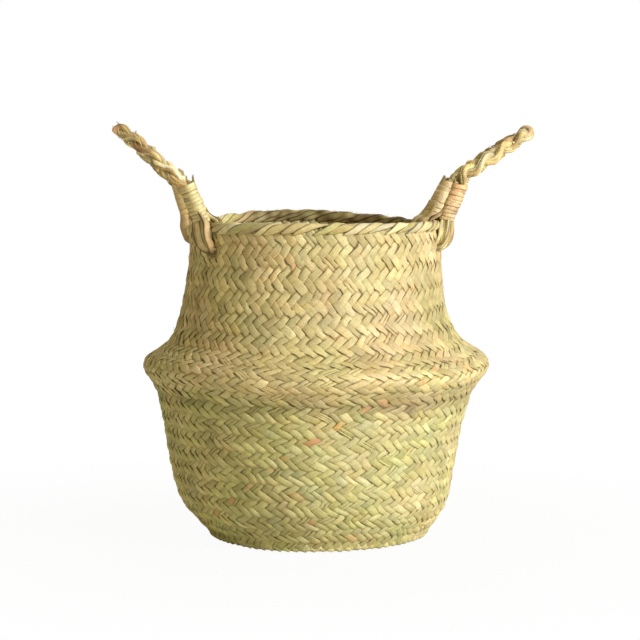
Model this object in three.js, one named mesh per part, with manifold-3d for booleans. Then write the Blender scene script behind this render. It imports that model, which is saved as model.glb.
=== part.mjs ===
// A small plaited basket with a pinched belly, a folded rim and two plaited rope handles.
// Millimetres, +Z up, standing on Z = 0 with its middle on the Z axis and its handles on +X and -X.
import * as THREE from 'three';
import { mergeVertices } from 'three/addons/utils/BufferGeometryUtils.js';
import Module from 'manifold-3d';

const wasm = await Module();
wasm.setup();
const { Manifold, Mesh } = wasm;

// Overall sizes
const BASKET_HEIGHT = 188;
const BELLY_RADIUS = 101.6;
const MOUTH_RADIUS = 70;
const WALL_THICKNESS = 2.6;
const FIT_GAP = 0.3;
const ROUND_STEPS = 40;

// Folded rim border, an upturned channel over the wall's top
const BORDER_SKIN = 1;
const BORDER_HEIGHT = 8;
const WALL_TOP_INNER_RADIUS = MOUTH_RADIUS + BORDER_SKIN + FIT_GAP;
const NECK_RADIUS = WALL_TOP_INNER_RADIUS + WALL_THICKNESS;
const BORDER_RADIUS = NECK_RADIUS + FIT_GAP + BORDER_SKIN;
const WALL_TOP = BASKET_HEIGHT - BORDER_SKIN - FIT_GAP;

// Outline below the belly: shares of the way out from the flat base and of the belly's height
const BASE_FLAT_RADIUS = 54;
const BELLY_HEIGHT = 103;
const LOWER_OUTLINE = [
  [0, 0],
  [0.189, 0.009],
  [0.26, 0.051],
  [0.4, 0.126],
  [0.517, 0.214],
  [0.574, 0.311],
  [0.635, 0.456],
  [0.698, 0.631],
  [0.763, 0.757],
  [0.811, 0.84],
  [0.887, 0.899],
  [0.975, 0.953],
  [1, 1],
];

// Outline above the belly: shares of the way out from the neck and of the height from belly to wall top
const UPPER_OUTLINE = [
  [0.892, 0.053],
  [0.646, 0.105],
  [0.394, 0.179],
  [0.22, 0.299],
  [0.112, 0.43],
  [0.047, 0.573],
  [0.007, 0.717],
  [0, 0.836],
];

// The one plaited shell in parts that are each near straight: name, its last outline point and steps up
const WALL_PARTS = [
  { name: 'woven_base', lastPoint: 1, steps: 2 },
  { name: 'woven_base_edge', lastPoint: 3, steps: 3 },
  { name: 'woven_foot', lastPoint: 5, steps: 3 },
  { name: 'woven_lower_wall', lastPoint: 9, steps: 4 },
  { name: 'woven_belly_underside', lastPoint: 12, steps: 4 },
  { name: 'woven_belly_top', lastPoint: 15, steps: 4 },
  { name: 'woven_shoulder', lastPoint: 17, steps: 3 },
  { name: 'woven_neck', lastPoint: 20, steps: 4 },
];

// Handle rope where it is flattened against the wall and under the whipping
const ROPE_HALF_WIDTH = 3.4;
const ROPE_HALF_THICKNESS = 1.8;
const LEG_TILT = 9;
const LEG_STANDOFF = 2.5;
const EYE_OUTER = BORDER_RADIUS + FIT_GAP + LEG_STANDOFF + ROPE_HALF_THICKNESS;
const EYE_INNER = MOUTH_RADIUS - 0.8 - ROPE_HALF_THICKNESS;
const EYE_RADIUS = (EYE_OUTER - EYE_INNER) / 2;
const EYE_MIDDLE = (EYE_OUTER + EYE_INNER) / 2;
const HOLE_DEPTH = 16.5;
const HOLE_HEIGHT = BASKET_HEIGHT - HOLE_DEPTH;
const HOLE_HALF_WIDTH = ROPE_HALF_WIDTH + 0.6;
const HOLE_HALF_HEIGHT = ROPE_HALF_THICKNESS + 0.9;
const LEAN_START = BASKET_HEIGHT + 1;
const TAIL_SPACING = 2 * ROPE_HALF_THICKNESS + FIT_GAP;
const TAIL_JOIN = 6.6;
const ROPE_SIDES = 8;
const ROOT_STEPS = 34;

// Whipping wound round each leg and its tail
const WHIP_TURNS = 5;
const WHIP_PITCH = 2.4;
const WHIP_WIRE_RADIUS = 0.8;
const WHIP_RADIUS = 4.1 + FIT_GAP + WHIP_WIRE_RADIUS;
const WHIP_TOP_MARGIN = 2.4;
const STEPS_PER_TURN = 24;

// Plaited loop above the whippings
const LOOP_SHOULDER = 19;
const LOOP_CROWN = 13;
const HINGE_GAP = 4.6;
const SEAT_RADIUS = 5;
const SEAT_SIDES = 24;
const STRAND_RADIUS = 1.85;
const PLAIT_HALF_WIDTH = 3.9;
const PLAIT_HALF_DEPTH = 3;
const PLAIT_PERIODS = 2.5;
const STRANDS = 3;
const STRAND_STEPS = 44;
const STRAND_SIDES = 6;

// Where each handle's two legs stand, in degrees from its middle, how far they and the loop lean out
// from upright, and their lengths
const HANDLES = [
  {
    name: 'left',
    turn: 180,
    places: { front: 28, back: 25.5 },
    leans: { front: 15, back: 13.5 },
    legLength: 21.5,
    loopLean: 52.7,
    loopDepth: 42.4,
  },
  {
    name: 'right',
    turn: 0,
    places: { front: 23.7, back: 20.5 },
    leans: { front: 15.5, back: 25 },
    legLength: 21.5,
    loopLean: 59.2,
    loopDepth: 46.8,
  },
];
const ENDS = ['front', 'back'];

const object = new THREE.Group();
object.name = 'belly_basket';

const radians = THREE.MathUtils.degToRad;

function addMesh(name, geometry, colour) {
  const material = new THREE.MeshStandardMaterial({ color: colour, roughness: 0.8 });
  const mesh = new THREE.Mesh(geometry, material);
  mesh.name = name;
  object.add(mesh);
}

// Turns a three.js geometry into a closed solid and back, so that holes can be cut
function toSolid(geometry) {
  const bare = new THREE.BufferGeometry();
  bare.setAttribute('position', geometry.getAttribute('position').clone());
  if (geometry.index) {
    bare.setIndex(geometry.index.clone());
  }
  const welded = mergeVertices(bare, 1e-4);
  const mesh = new Mesh({
    numProp: 3,
    vertProperties: new Float32Array(welded.getAttribute('position').array),
    triVerts: new Uint32Array(welded.index.array),
  });
  return new Manifold(mesh);
}

function fromSolid(solid) {
  const mesh = solid.getMesh();
  const geometry = new THREE.BufferGeometry();
  geometry.setAttribute('position', new THREE.BufferAttribute(mesh.vertProperties, 3));
  geometry.setIndex(new THREE.BufferAttribute(mesh.triVerts, 1));
  return geometry;
}

// Lathe geometry turned upright, from radius and height pairs that start and end on the axis or close
function latheUpright(pairs) {
  const points = pairs.map(([radius, height]) => new THREE.Vector2(radius, height));
  const geometry = new THREE.LatheGeometry(points, ROUND_STEPS);
  geometry.rotateX(Math.PI / 2);
  return geometry;
}

// Ellipse outline for swept ropes
function ellipseShape(halfWidth, halfHeight, sides) {
  const shape = new THREE.Shape();
  for (let i = 0; i < sides; i += 1) {
    const angle = (2 * Math.PI * i) / sides;
    const x = halfWidth * Math.cos(angle);
    const y = halfHeight * Math.sin(angle);
    if (i === 0) {
      shape.moveTo(x, y);
    } else {
      shape.lineTo(x, y);
    }
  }
  shape.closePath();
  return shape;
}

function sweep(shape, path, steps) {
  return new THREE.ExtrudeGeometry(shape, { steps, bevelEnabled: false, extrudePath: path });
}

// Basket wall and base, one plaited shell in parts with a fine gap between them

const outlinePoints = [
  ...LOWER_OUTLINE.map(([out, up]) => new THREE.Vector2(
    BASE_FLAT_RADIUS + out * (BELLY_RADIUS - BASE_FLAT_RADIUS),
    up * BELLY_HEIGHT,
  )),
  ...UPPER_OUTLINE.map(([out, up]) => new THREE.Vector2(
    NECK_RADIUS + out * (BELLY_RADIUS - NECK_RADIUS),
    BELLY_HEIGHT + up * (WALL_TOP - BELLY_HEIGHT),
  )),
];
const outline = new THREE.SplineCurve(outlinePoints);

function shareAtHeight(height) {
  let low = 0;
  let high = 1;
  for (let i = 0; i < 40; i += 1) {
    const middle = (low + high) / 2;
    if (outline.getPointAt(middle).y < height) {
      low = middle;
    } else {
      high = middle;
    }
  }
  return (low + high) / 2;
}

function wallProfile(part, from, to) {
  const outer = [];
  const inner = [];
  for (let i = 0; i <= part.steps; i += 1) {
    const share = from + ((to - from) * i) / part.steps;
    const point = outline.getPointAt(share);
    const tangent = outline.getTangentAt(share);
    outer.push([point.x, point.y]);
    inner.push([point.x - tangent.y * WALL_THICKNESS, point.y + tangent.x * WALL_THICKNESS]);
  }
  if (from === 0) {
    outer.unshift([0, 0]);
    inner.unshift([0, inner[0][1]]);
    return [...outer, ...inner.reverse()];
  }
  if (to === 1) {
    outer.push([NECK_RADIUS, WALL_TOP]);
    inner.push([WALL_TOP_INNER_RADIUS, WALL_TOP]);
  }
  return [...outer, ...inner.reverse(), outer[0]];
}

// Frame of one handle leg: out from the wall, along the rim, up. It is tilted toward the loop's middle
function legFrame(handle, end) {
  const hand = (end === 'back' ? 1 : -1) * (handle.turn === 0 ? 1 : -1);
  const frame = new THREE.Matrix4().makeRotationZ(radians(handle.turn + hand * handle.places[end]));
  frame.multiply(new THREE.Matrix4().makeTranslation(0, 0, HOLE_HEIGHT));
  frame.multiply(new THREE.Matrix4().makeRotationX(radians(hand * LEG_TILT)));
  frame.multiply(new THREE.Matrix4().makeTranslation(0, 0, -HOLE_HEIGHT));
  return frame;
}

function legDirection(handle, end) {
  const lean = radians(handle.leans[end]);
  return new THREE.Vector3(Math.sin(lean), 0, Math.cos(lean));
}

function legPoint(handle, end, along) {
  const foot = new THREE.Vector3(EYE_OUTER, 0, LEAN_START);
  return foot.addScaledVector(legDirection(handle, end), along);
}

// Hinge line of a handle, over the tops of its legs, and the directions of its loop
function loopFrame(handle) {
  const [front, back] = ENDS.map((end) => {
    const top = legPoint(handle, end, handle.legLength + HINGE_GAP);
    return top.applyMatrix4(legFrame(handle, end));
  });
  const across = back.clone().sub(front).normalize();
  const out = new THREE.Vector3(Math.cos(radians(handle.turn)), 0, 0);
  const lean = radians(handle.loopLean);
  const away = out.multiplyScalar(Math.sin(lean)).add(new THREE.Vector3(0, 0, Math.cos(lean)));
  away.addScaledVector(across, -away.dot(across)).normalize();
  return {
    hinge: front.clone().add(back).multiplyScalar(0.5),
    halfSpan: front.distanceTo(back) / 2,
    across,
    away,
    facing: new THREE.Vector3().crossVectors(across, away),
  };
}

// Round seat about a handle's hinge line, in which the plait's ends turn
function seatCutter(loop) {
  const cutter = new THREE.CylinderGeometry(SEAT_RADIUS + FIT_GAP, SEAT_RADIUS + FIT_GAP, 100, SEAT_SIDES);
  const turn = new THREE.Quaternion().setFromUnitVectors(new THREE.Vector3(0, 1, 0), loop.across);
  cutter.applyQuaternion(turn);
  cutter.translate(loop.hinge.x, loop.hinge.y, loop.hinge.z);
  return cutter;
}

// Slots in the neck, one for each rope end
function cutRopeHoles(neck) {
  let cut = neck;
  for (const handle of HANDLES) {
    for (const end of ENDS) {
      const slot = new THREE.ExtrudeGeometry(ellipseShape(HOLE_HALF_WIDTH, HOLE_HALF_HEIGHT, 16), {
        depth: 6 * WALL_THICKNESS,
        bevelEnabled: false,
      });
      slot.translate(0, 0, -3 * WALL_THICKNESS);
      slot.rotateY(Math.PI / 2);
      slot.rotateX(Math.PI / 2);
      slot.translate(EYE_MIDDLE, 0, HOLE_HEIGHT);
      slot.applyMatrix4(legFrame(handle, end));
      cut = cut.subtract(toSolid(slot));
    }
  }
  return cut;
}

const halfGap = FIT_GAP / 2 / outline.getLength();
let wallStart = 0;
for (const part of WALL_PARTS) {
  const isNeck = part.name === 'woven_neck';
  const wallEnd = isNeck ? 1 : shareAtHeight(outlinePoints[part.lastPoint].y) - halfGap;
  const ring = toSolid(latheUpright(wallProfile(part, wallStart, wallEnd)));
  addMesh(part.name, fromSolid(isNeck ? cutRopeHoles(ring) : ring), 0xd8c98a);
  wallStart = wallEnd + 2 * halfGap;
}

// Folded rim border
const borderProfile = [
  [BORDER_RADIUS, BASKET_HEIGHT - BORDER_HEIGHT],
  [BORDER_RADIUS, BASKET_HEIGHT - 0.8],
  [BORDER_RADIUS - 0.8, BASKET_HEIGHT],
  [MOUTH_RADIUS + 0.8, BASKET_HEIGHT],
  [MOUTH_RADIUS, BASKET_HEIGHT - 0.8],
  [MOUTH_RADIUS, BASKET_HEIGHT - BORDER_HEIGHT],
  [MOUTH_RADIUS + BORDER_SKIN, BASKET_HEIGHT - BORDER_HEIGHT],
  [MOUTH_RADIUS + BORDER_SKIN, BASKET_HEIGHT - BORDER_SKIN],
  [BORDER_RADIUS - BORDER_SKIN, BASKET_HEIGHT - BORDER_SKIN],
  [BORDER_RADIUS - BORDER_SKIN, BASKET_HEIGHT - BORDER_HEIGHT],
  [BORDER_RADIUS, BASKET_HEIGHT - BORDER_HEIGHT],
];
addMesh('rim_border', fromSolid(toSolid(latheUpright(borderProfile))), 0xdccd92);

// Fixed end of a handle rope: down outside the wall, through its hole, up inside and over the rim
function rootPath(handle, end) {
  const direction = legDirection(handle, end);
  const inward = new THREE.Vector3(-direction.z, 0, direction.x);
  const eyeMiddle = new THREE.Vector3(EYE_MIDDLE, 0, HOLE_HEIGHT + EYE_RADIUS);
  const points = [];
  for (const along of [handle.legLength, 17, 11, 5, 1.5]) {
    points.push(legPoint(handle, end, along));
  }
  points.push(new THREE.Vector3(EYE_OUTER, 0, LEAN_START - 3));
  points.push(new THREE.Vector3(EYE_OUTER, 0, LEAN_START - 7));
  for (let i = 0; i <= 6; i += 1) {
    const angle = (Math.PI * i) / 6;
    const x = eyeMiddle.x + EYE_RADIUS * Math.cos(angle);
    const z = eyeMiddle.z - EYE_RADIUS * Math.sin(angle);
    points.push(new THREE.Vector3(x, 0, z));
  }
  points.push(new THREE.Vector3(EYE_INNER, 0, LEAN_START - 7));
  points.push(new THREE.Vector3(EYE_INNER, 0, BASKET_HEIGHT - 1));
  points.push(new THREE.Vector3(EYE_INNER + 1, 0, BASKET_HEIGHT + 2.6));
  for (const along of [TAIL_JOIN, 10, 14, 18, handle.legLength]) {
    points.push(legPoint(handle, end, along).addScaledVector(inward, TAIL_SPACING));
  }
  return new THREE.CatmullRomCurve3(points);
}

// Whipping: one unbroken strip wound round the leg and its tail
function whippingPath(handle, end) {
  const direction = legDirection(handle, end);
  const inward = new THREE.Vector3(-direction.z, 0, direction.x);
  const sideways = new THREE.Vector3(0, 1, 0);
  const top = handle.legLength - WHIP_TOP_MARGIN;
  const count = WHIP_TURNS * STEPS_PER_TURN;
  const points = [];
  for (let i = 0; i <= count; i += 1) {
    const turn = i / STEPS_PER_TURN;
    const angle = 2 * Math.PI * turn;
    const point = legPoint(handle, end, top - turn * WHIP_PITCH);
    point.addScaledVector(inward, TAIL_SPACING / 2 + WHIP_RADIUS * Math.cos(angle));
    point.addScaledVector(sideways, WHIP_RADIUS * Math.sin(angle));
    points.push(point);
  }
  return points;
}

function leastGapBetweenTurns(points, radius) {
  let least = Infinity;
  for (let i = 0; i < points.length; i += 1) {
    for (let j = i + STEPS_PER_TURN / 2; j < points.length; j += 1) {
      least = Math.min(least, points[i].distanceTo(points[j]));
    }
  }
  return least - 2 * radius;
}

// Middle line of the plaited loop, in its own plane: across the handle and away from the hinge line
function loopCurve(handle, halfSpan) {
  const lean = radians(LEG_TILT + 4);
  const shoulder = [halfSpan - LOOP_SHOULDER * Math.sin(lean), LOOP_SHOULDER * Math.cos(lean)];
  const path = new THREE.CurvePath();
  path.add(new THREE.CubicBezierCurve3(
    new THREE.Vector3(-halfSpan, 0, 0),
    new THREE.Vector3(-shoulder[0], shoulder[1], 0),
    new THREE.Vector3(-LOOP_CROWN, handle.loopDepth, 0),
    new THREE.Vector3(0, handle.loopDepth, 0),
  ));
  path.add(new THREE.CubicBezierCurve3(
    new THREE.Vector3(0, handle.loopDepth, 0),
    new THREE.Vector3(LOOP_CROWN, handle.loopDepth, 0),
    new THREE.Vector3(shoulder[0], shoulder[1], 0),
    new THREE.Vector3(halfSpan, 0, 0),
  ));
  return path;
}

// One strand of the plait, weaving from edge to edge and over and under its two neighbours
function strandPath(loop, curve, strand) {
  const { hinge, across, away, facing } = loop;
  const points = [];
  for (let i = 0; i <= STRAND_STEPS; i += 1) {
    const share = i / STRAND_STEPS;
    const middle = curve.getPointAt(share);
    const tangent = curve.getTangentAt(share);
    const phase = 2 * Math.PI * (PLAIT_PERIODS * share + strand / STRANDS);
    const sideways = PLAIT_HALF_WIDTH * Math.sin(phase);
    const x = middle.x - tangent.y * sideways;
    const y = middle.y + tangent.x * sideways;
    const point = hinge.clone().addScaledVector(across, x).addScaledVector(away, y);
    point.addScaledVector(facing, PLAIT_HALF_DEPTH * Math.sin(2 * phase));
    points.push(point);
  }
  const offset = Math.abs(PLAIT_HALF_DEPTH * Math.sin((4 * Math.PI * strand) / STRANDS)) + STRAND_RADIUS;
  const reach = Math.sqrt(SEAT_RADIUS ** 2 - offset ** 2) - FIT_GAP;
  const seats = [0, 1].map((end) => {
    const step = curve.getTangentAt(end).multiplyScalar(end === 0 ? -reach : reach);
    const tip = points[end * STRAND_STEPS].clone();
    return tip.addScaledVector(across, step.x).addScaledVector(away, step.y);
  });
  return [seats[0], ...points, seats[1]];
}

function leastGapBetweenStrands(paths) {
  let least = Infinity;
  paths.forEach((first, i) => {
    paths.slice(i + 1).forEach((second) => {
      for (const a of first) {
        for (const b of second) {
          least = Math.min(least, a.distanceTo(b));
        }
      }
    });
  });
  return least - 2 * STRAND_RADIUS;
}

for (const handle of HANDLES) {
  const loop = loopFrame(handle);
  for (const end of ENDS) {
    const section = ellipseShape(ROPE_HALF_WIDTH, ROPE_HALF_THICKNESS, ROPE_SIDES);
    const root = sweep(section, rootPath(handle, end), ROOT_STEPS);
    root.applyMatrix4(legFrame(handle, end));
    const eye = toSolid(root).subtract(toSolid(seatCutter(loop)));
    addMesh(`${handle.name}_${end}_rope_eye`, fromSolid(eye), 0xcdbb78);
    const points = whippingPath(handle, end);
    const gap = leastGapBetweenTurns(points, WHIP_WIRE_RADIUS);
    console.log(`${handle.name} ${end} whipping: least gap between turns ${gap.toFixed(2)} mm`);
    const wire = ellipseShape(WHIP_WIRE_RADIUS, WHIP_WIRE_RADIUS, 6);
    const coil = sweep(wire, new THREE.CatmullRomCurve3(points), WHIP_TURNS * STEPS_PER_TURN);
    coil.applyMatrix4(legFrame(handle, end));
    addMesh(`${handle.name}_${end}_whipping`, coil, 0xe3cf96);
  }
  const curve = loopCurve(handle, loop.halfSpan);
  const paths = [0, 1, 2].map((strand) => strandPath(loop, curve, strand));
  const gap = leastGapBetweenStrands(paths);
  for (const [what, place] of [['hinge line through', loop.hinge], ['along', loop.across]]) {
    console.log(`${handle.name} loop: ${what} ${place.toArray().map((value) => value.toFixed(4)).join(', ')}`);
  }
  console.log(`${handle.name} loop: least gap between strands ${gap.toFixed(2)} mm`);
  paths.forEach((points, strand) => {
    const section = ellipseShape(STRAND_RADIUS, STRAND_RADIUS, STRAND_SIDES);
    const tube = sweep(section, new THREE.CatmullRomCurve3(points), STRAND_STEPS + 2);
    addMesh(`${handle.name}_plait_strand_${strand + 1}`, tube, 0xdac98c);
  });
}

export default object;
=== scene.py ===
"""A plaited belly basket with a folded rim and two plaited rope handles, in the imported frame."""

import logging
import math
from dataclasses import dataclass
from enum import Enum

import bmesh
import bpy
import numpy as np
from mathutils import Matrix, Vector


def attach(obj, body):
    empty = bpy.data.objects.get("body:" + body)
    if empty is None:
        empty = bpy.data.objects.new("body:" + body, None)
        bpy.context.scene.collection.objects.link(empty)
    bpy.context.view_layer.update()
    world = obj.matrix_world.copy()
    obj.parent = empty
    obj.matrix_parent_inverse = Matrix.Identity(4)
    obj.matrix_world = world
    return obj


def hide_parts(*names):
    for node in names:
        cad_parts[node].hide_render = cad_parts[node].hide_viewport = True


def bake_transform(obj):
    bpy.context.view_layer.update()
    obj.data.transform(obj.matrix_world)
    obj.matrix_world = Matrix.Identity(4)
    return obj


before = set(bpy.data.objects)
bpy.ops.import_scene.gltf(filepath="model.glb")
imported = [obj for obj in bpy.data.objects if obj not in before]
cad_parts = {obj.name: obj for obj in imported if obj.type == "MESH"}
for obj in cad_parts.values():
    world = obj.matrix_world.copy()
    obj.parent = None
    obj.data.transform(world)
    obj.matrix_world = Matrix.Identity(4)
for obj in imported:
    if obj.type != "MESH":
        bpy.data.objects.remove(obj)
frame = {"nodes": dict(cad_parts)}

Bytes = tuple[int, int, int]
Pair = tuple[float, float]
Triple = tuple[float, float, float]
Colour = tuple[float, float, float, float]
Floats = tuple[float, ...]
Array = np.ndarray
Random = np.random.Generator
Material = bpy.types.Material
Object = bpy.types.Object

log = logging.getLogger("basket")
MM = 0.001
SEED = 20
LUMA = (0.21, 0.72, 0.07)
DIAMOND = np.array([[1, 0], [0, 1], [-1, 0], [0, -1]], float)
SIDEWAYS = np.array([0.0, 1.0, 0.0])


# Choices and colours


class Lay(Enum):
    """Which way a family of strips runs up the wall."""

    FALLING = 1
    RISING = -1

    def choose(self, falling: object, rising: object) -> object:
        """Choose the first value for falling strips and the second for rising strips."""
        return falling if self is Lay.FALLING else rising


class Zone(Enum):
    """Palette of a part of the basket."""

    NECK = "neck"
    LOWER = "lower"
    ROPE = "rope"
    BAND = "band"


@dataclass(frozen=True)
class Palette:
    """Leaf colours, as sRGB bytes, with how often each turns up."""

    colours: tuple[Bytes, ...]
    shares: Floats

    def pick(self, rng: Random, shape: tuple[int, ...]) -> Array:
        """Draw colours at random.

        Args:
            rng: Random source.
            shape: Shape of the draw.

        Returns:
            Linear RGB of that shape, with a last axis of 3.
        """
        shares = np.array(self.shares) / sum(self.shares)
        index = rng.choice(len(self.colours), size=shape, p=shares)
        return to_linear(self.colours)[index]

    def each(self, rng: Random, count: int, mean: float, spread: float) -> Array:
        """Draw one colour for each of some strips, times a random factor of a mean and a spread."""
        return self.pick(rng, (count, 1))[:, :, None, :] * rng.normal(mean, spread, (count, 1, 1, 1))


PALETTES = {
    Zone.NECK: Palette(
        ((226, 211, 153), (215, 198, 138), (238, 226, 178), (201, 184, 118), (206, 199, 132),
         (226, 197, 144), (188, 169, 105)),
        (0.28, 0.24, 0.15, 0.11, 0.09, 0.08, 0.05),
    ),
    Zone.LOWER: Palette(
        ((229, 220, 158), (216, 208, 142), (238, 233, 184), (199, 190, 116), (205, 208, 134),
         (227, 204, 146), (189, 192, 114)),
        (0.28, 0.24, 0.14, 0.12, 0.1, 0.07, 0.05),
    ),
    Zone.ROPE: Palette(
        ((234, 216, 160), (220, 196, 136), (244, 231, 184), (196, 166, 106), (214, 202, 134),
         (232, 186, 146), (190, 142, 104)),
        (0.28, 0.23, 0.19, 0.12, 0.1, 0.09, 0.03),
    ),
    Zone.BAND: Palette(
        ((228, 208, 150), (218, 192, 132), (238, 220, 172)),
        (0.4, 0.35, 0.25),
    ),
}


def to_linear(bytes_: Array | tuple) -> Array:
    """Turn sRGB bytes into linear colour from 0 to 1."""
    share = np.asarray(bytes_, float) / 255
    return np.where(share <= 0.04045, share / 12.92, ((share + 0.055) / 1.055) ** 2.4)


# Shared shapes and waves


def unit(vectors: Array) -> Array:
    """Scale the vectors along the last axis to length one."""
    return vectors / np.maximum(np.linalg.norm(vectors, axis=-1, keepdims=True), 1e-12)


def smoothstep(low: float, high: float, value: Array) -> Array:
    """Rise from 0 at low to 1 at high: three times the share squared less twice its cube."""
    share = np.clip((value - low) / (high - low), 0, 1)
    return share * share * (3 - 2 * share)


def bell(value: Array, middle: float, width: float) -> Array:
    """Rise to 1 at the middle and fall off: e to the minus square of the distance over the width."""
    return np.exp(-(((value - middle) / width) ** 2))


def arc_length(points: Array) -> Array:
    """Measure how far along a line each of its points lies."""
    return np.concatenate([[0], np.cumsum(np.linalg.norm(np.diff(points, axis=0), axis=1))])


def between(place: Array, knots: Array, table: Array) -> Array:
    """Read the columns of a table between its knots, along straight lines."""
    return np.stack([np.interp(place, knots, column) for column in table.T], -1)


def eased(lines: Array, times: int) -> Array:
    """Round the corners of lines: each inner point keeps half of its place and takes half of its neighbours'.

    Args:
        lines: Lines of points, along the last two axes.
        times: How often.

    Returns:
        The rounded lines.
    """
    for _ in range(times):
        inner = (lines[..., :-2, :] + 2 * lines[..., 1:-1, :] + lines[..., 2:, :]) / 4
        lines = np.concatenate([lines[..., :1, :], inner, lines[..., -1:, :]], -2)
    return lines


def squared(side: Array, tangent: Array) -> Array:
    """Turn vectors square to a path, by taking away their part along its unit tangent."""
    return unit(side - (side * tangent).sum(-1, keepdims=True) * tangent)


def fibres(line: Array, side: Array, out: Array, half_width: Array, half_depth: Array) -> Array:
    """Carry a four-sided outline along lines: a corner on either side, one above and one below.

    Args:
        line: Points of each line.
        side: Unit vectors aside from it.
        out: Unit vectors off the surface.
        half_width: Half of the width at each point.
        half_depth: Half of the thickness at each point.

    Returns:
        Points on rings along each line.
    """
    aside = half_width[..., None, None] * DIAMOND[:, :1] * side[:, :, None, :]
    above = half_depth[..., None, None] * DIAMOND[:, 1:] * out[:, :, None, :]
    return line[:, :, None, :] + aside + above


def leaf_ring(shoulder: float, under: float) -> tuple[Array, Array]:
    """Outline a broad leaf's section: places across from -1 to 1, and 1 for points underneath."""
    across = np.array([-1, -shoulder, 0, shoulder, 1, under, 0, -under])
    return across, np.repeat([0, 1], [5, 3])


def strip_lanes(count: int) -> Array:
    """Set strips four units apart, so that each reads its own stretch of the leaf pattern."""
    return 4 * np.arange(count)[:, None, None]


def around(radius: Array, angle: Array, level: Array) -> Array:
    """Points at a radius and an angle, by its cosine along X and its sine along Y, and at a level."""
    return np.stack([radius * np.cos(angle), radius * np.sin(angle), level], -1)


def placed(name: str, data: bpy.types.ID) -> Object:
    """Put a mesh, light or camera into the scene.

    Args:
        name: Object name.
        data: What to put there.

    Returns:
        The object, at the origin.
    """
    made = bpy.data.objects.new(name, data)
    bpy.context.scene.collection.objects.link(made)
    return made


def wander(rng: Random, count: int, along: Array, lengths: Floats) -> Array:
    """Slow random waves, one row for each strip.

    Args:
        rng: Random source.
        count: Number of strips.
        along: Places along a strip.
        lengths: Wavelengths, in the unit of along.

    Returns:
        Waves of about unit height, as count rows.
    """
    total = np.zeros((count, len(along)))
    for length in lengths:
        phase = rng.uniform(0, 2 * math.pi, (count, 1))
        stretch = rng.uniform(0.8, 1.25, (count, 1))
        total += np.sin(2 * math.pi * along[None, :] / (length * stretch) + phase)
    return total / math.sqrt(len(lengths))


# Materials


@dataclass(frozen=True)
class Socket:
    """A shader value that can be calculated with."""

    graph: "Graph"
    output: bpy.types.NodeSocket

    def maths(self, operation: str, *others: "Socket | float", swap: bool = False) -> "Socket":
        """Join this value and others in one Math node.

        Args:
            operation: Math node operation.
            others: Further operands.
            swap: Whether this value is the second operand.

        Returns:
            The result.
        """
        operands = [self, *others]
        if swap:
            operands.reverse()
        return self.graph.node("ShaderNodeMath", dict(enumerate(operands)), operation=operation)

    def __add__(self, other: "Socket | float") -> "Socket":
        """Add a value."""
        return self.maths("ADD", other)

    def __sub__(self, other: "Socket | float") -> "Socket":
        """Take a value away."""
        return self.maths("SUBTRACT", other)

    def __rsub__(self, other: float) -> "Socket":
        """Take this value away from a number."""
        return self.maths("SUBTRACT", other, swap=True)

    def __mul__(self, other: "Socket | float") -> "Socket":
        """Multiply by a value."""
        return self.maths("MULTIPLY", other)

    __radd__ = __add__
    __rmul__ = __mul__


class Graph:
    """The node tree of one material or of the world."""

    def __init__(self, owner: Material | bpy.types.World) -> None:
        """Start with an empty node tree.

        Args:
            owner: The new material or world.
        """
        self.owner = owner
        owner.use_nodes = True
        self.tree = owner.node_tree
        self.tree.nodes.clear()

    def node(self, kind: str, inputs: dict, output: int | str = 0, **settings: object) -> Socket:
        """Add any node.

        Args:
            kind: Node type.
            inputs: Input values or sockets, by index or name.
            output: Which output to hand back.
            settings: Node properties.

        Returns:
            The chosen output.
        """
        made = self.tree.nodes.new(kind)
        for key, value in settings.items():
            setattr(made, key, value)
        for key, value in inputs.items():
            if isinstance(value, Socket):
                self.tree.links.new(value.output, made.inputs[key])
            else:
                made.inputs[key].default_value = value
        return Socket(self, made.outputs[output])

    def blend(self, factor: Socket | float, first: object, second: object, how: str = "MIX") -> Socket:
        """Mix two colours by a factor, which is the share of the second."""
        inputs = {0: factor, 6: first, 7: second}
        return self.node("ShaderNodeMix", inputs, 2, data_type="RGBA", blend_type=how)

    def stretched(self, vector: Socket, scale: Triple) -> Socket:
        """Scale a texture vector along each axis."""
        return self.node("ShaderNodeVectorMath", {0: vector, 1: scale}, operation="MULTIPLY")

    def noise(self, vector: Socket, scale: float, detail: float = 2.0) -> Socket:
        """Noise from 0 to 1, with scale in features per unit and detail in octaves."""
        return self.node("ShaderNodeTexNoise", {"Vector": vector, "Scale": scale, "Detail": detail})

    def surface(self, colour: object, roughness: object, normal: Socket | None = None,
                **fixed: object) -> Material:
        """Close the graph with a Principled surface.

        Args:
            colour: Base colour.
            roughness: Roughness.
            normal: Bumped normal.
            fixed: Constant inputs, with spaces written as underscores.

        Returns:
            The material.
        """
        inputs = {"Base Color": colour, "Roughness": roughness}
        if normal is not None:
            inputs["Normal"] = normal
        inputs.update({key.replace("_", " "): value for key, value in fixed.items()})
        return self.close(self.node("ShaderNodeBsdfPrincipled", inputs))

    def close(self, shader: Socket) -> Material | bpy.types.World:
        """Link a shader to the output.

        Args:
            shader: The shader.

        Returns:
            The finished material or world.
        """
        kind = "World" if isinstance(self.owner, bpy.types.World) else "Material"
        end = self.tree.nodes.new(f"ShaderNodeOutput{kind}")
        self.tree.links.new(shader.output, end.inputs["Surface"])
        return self.owner


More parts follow.
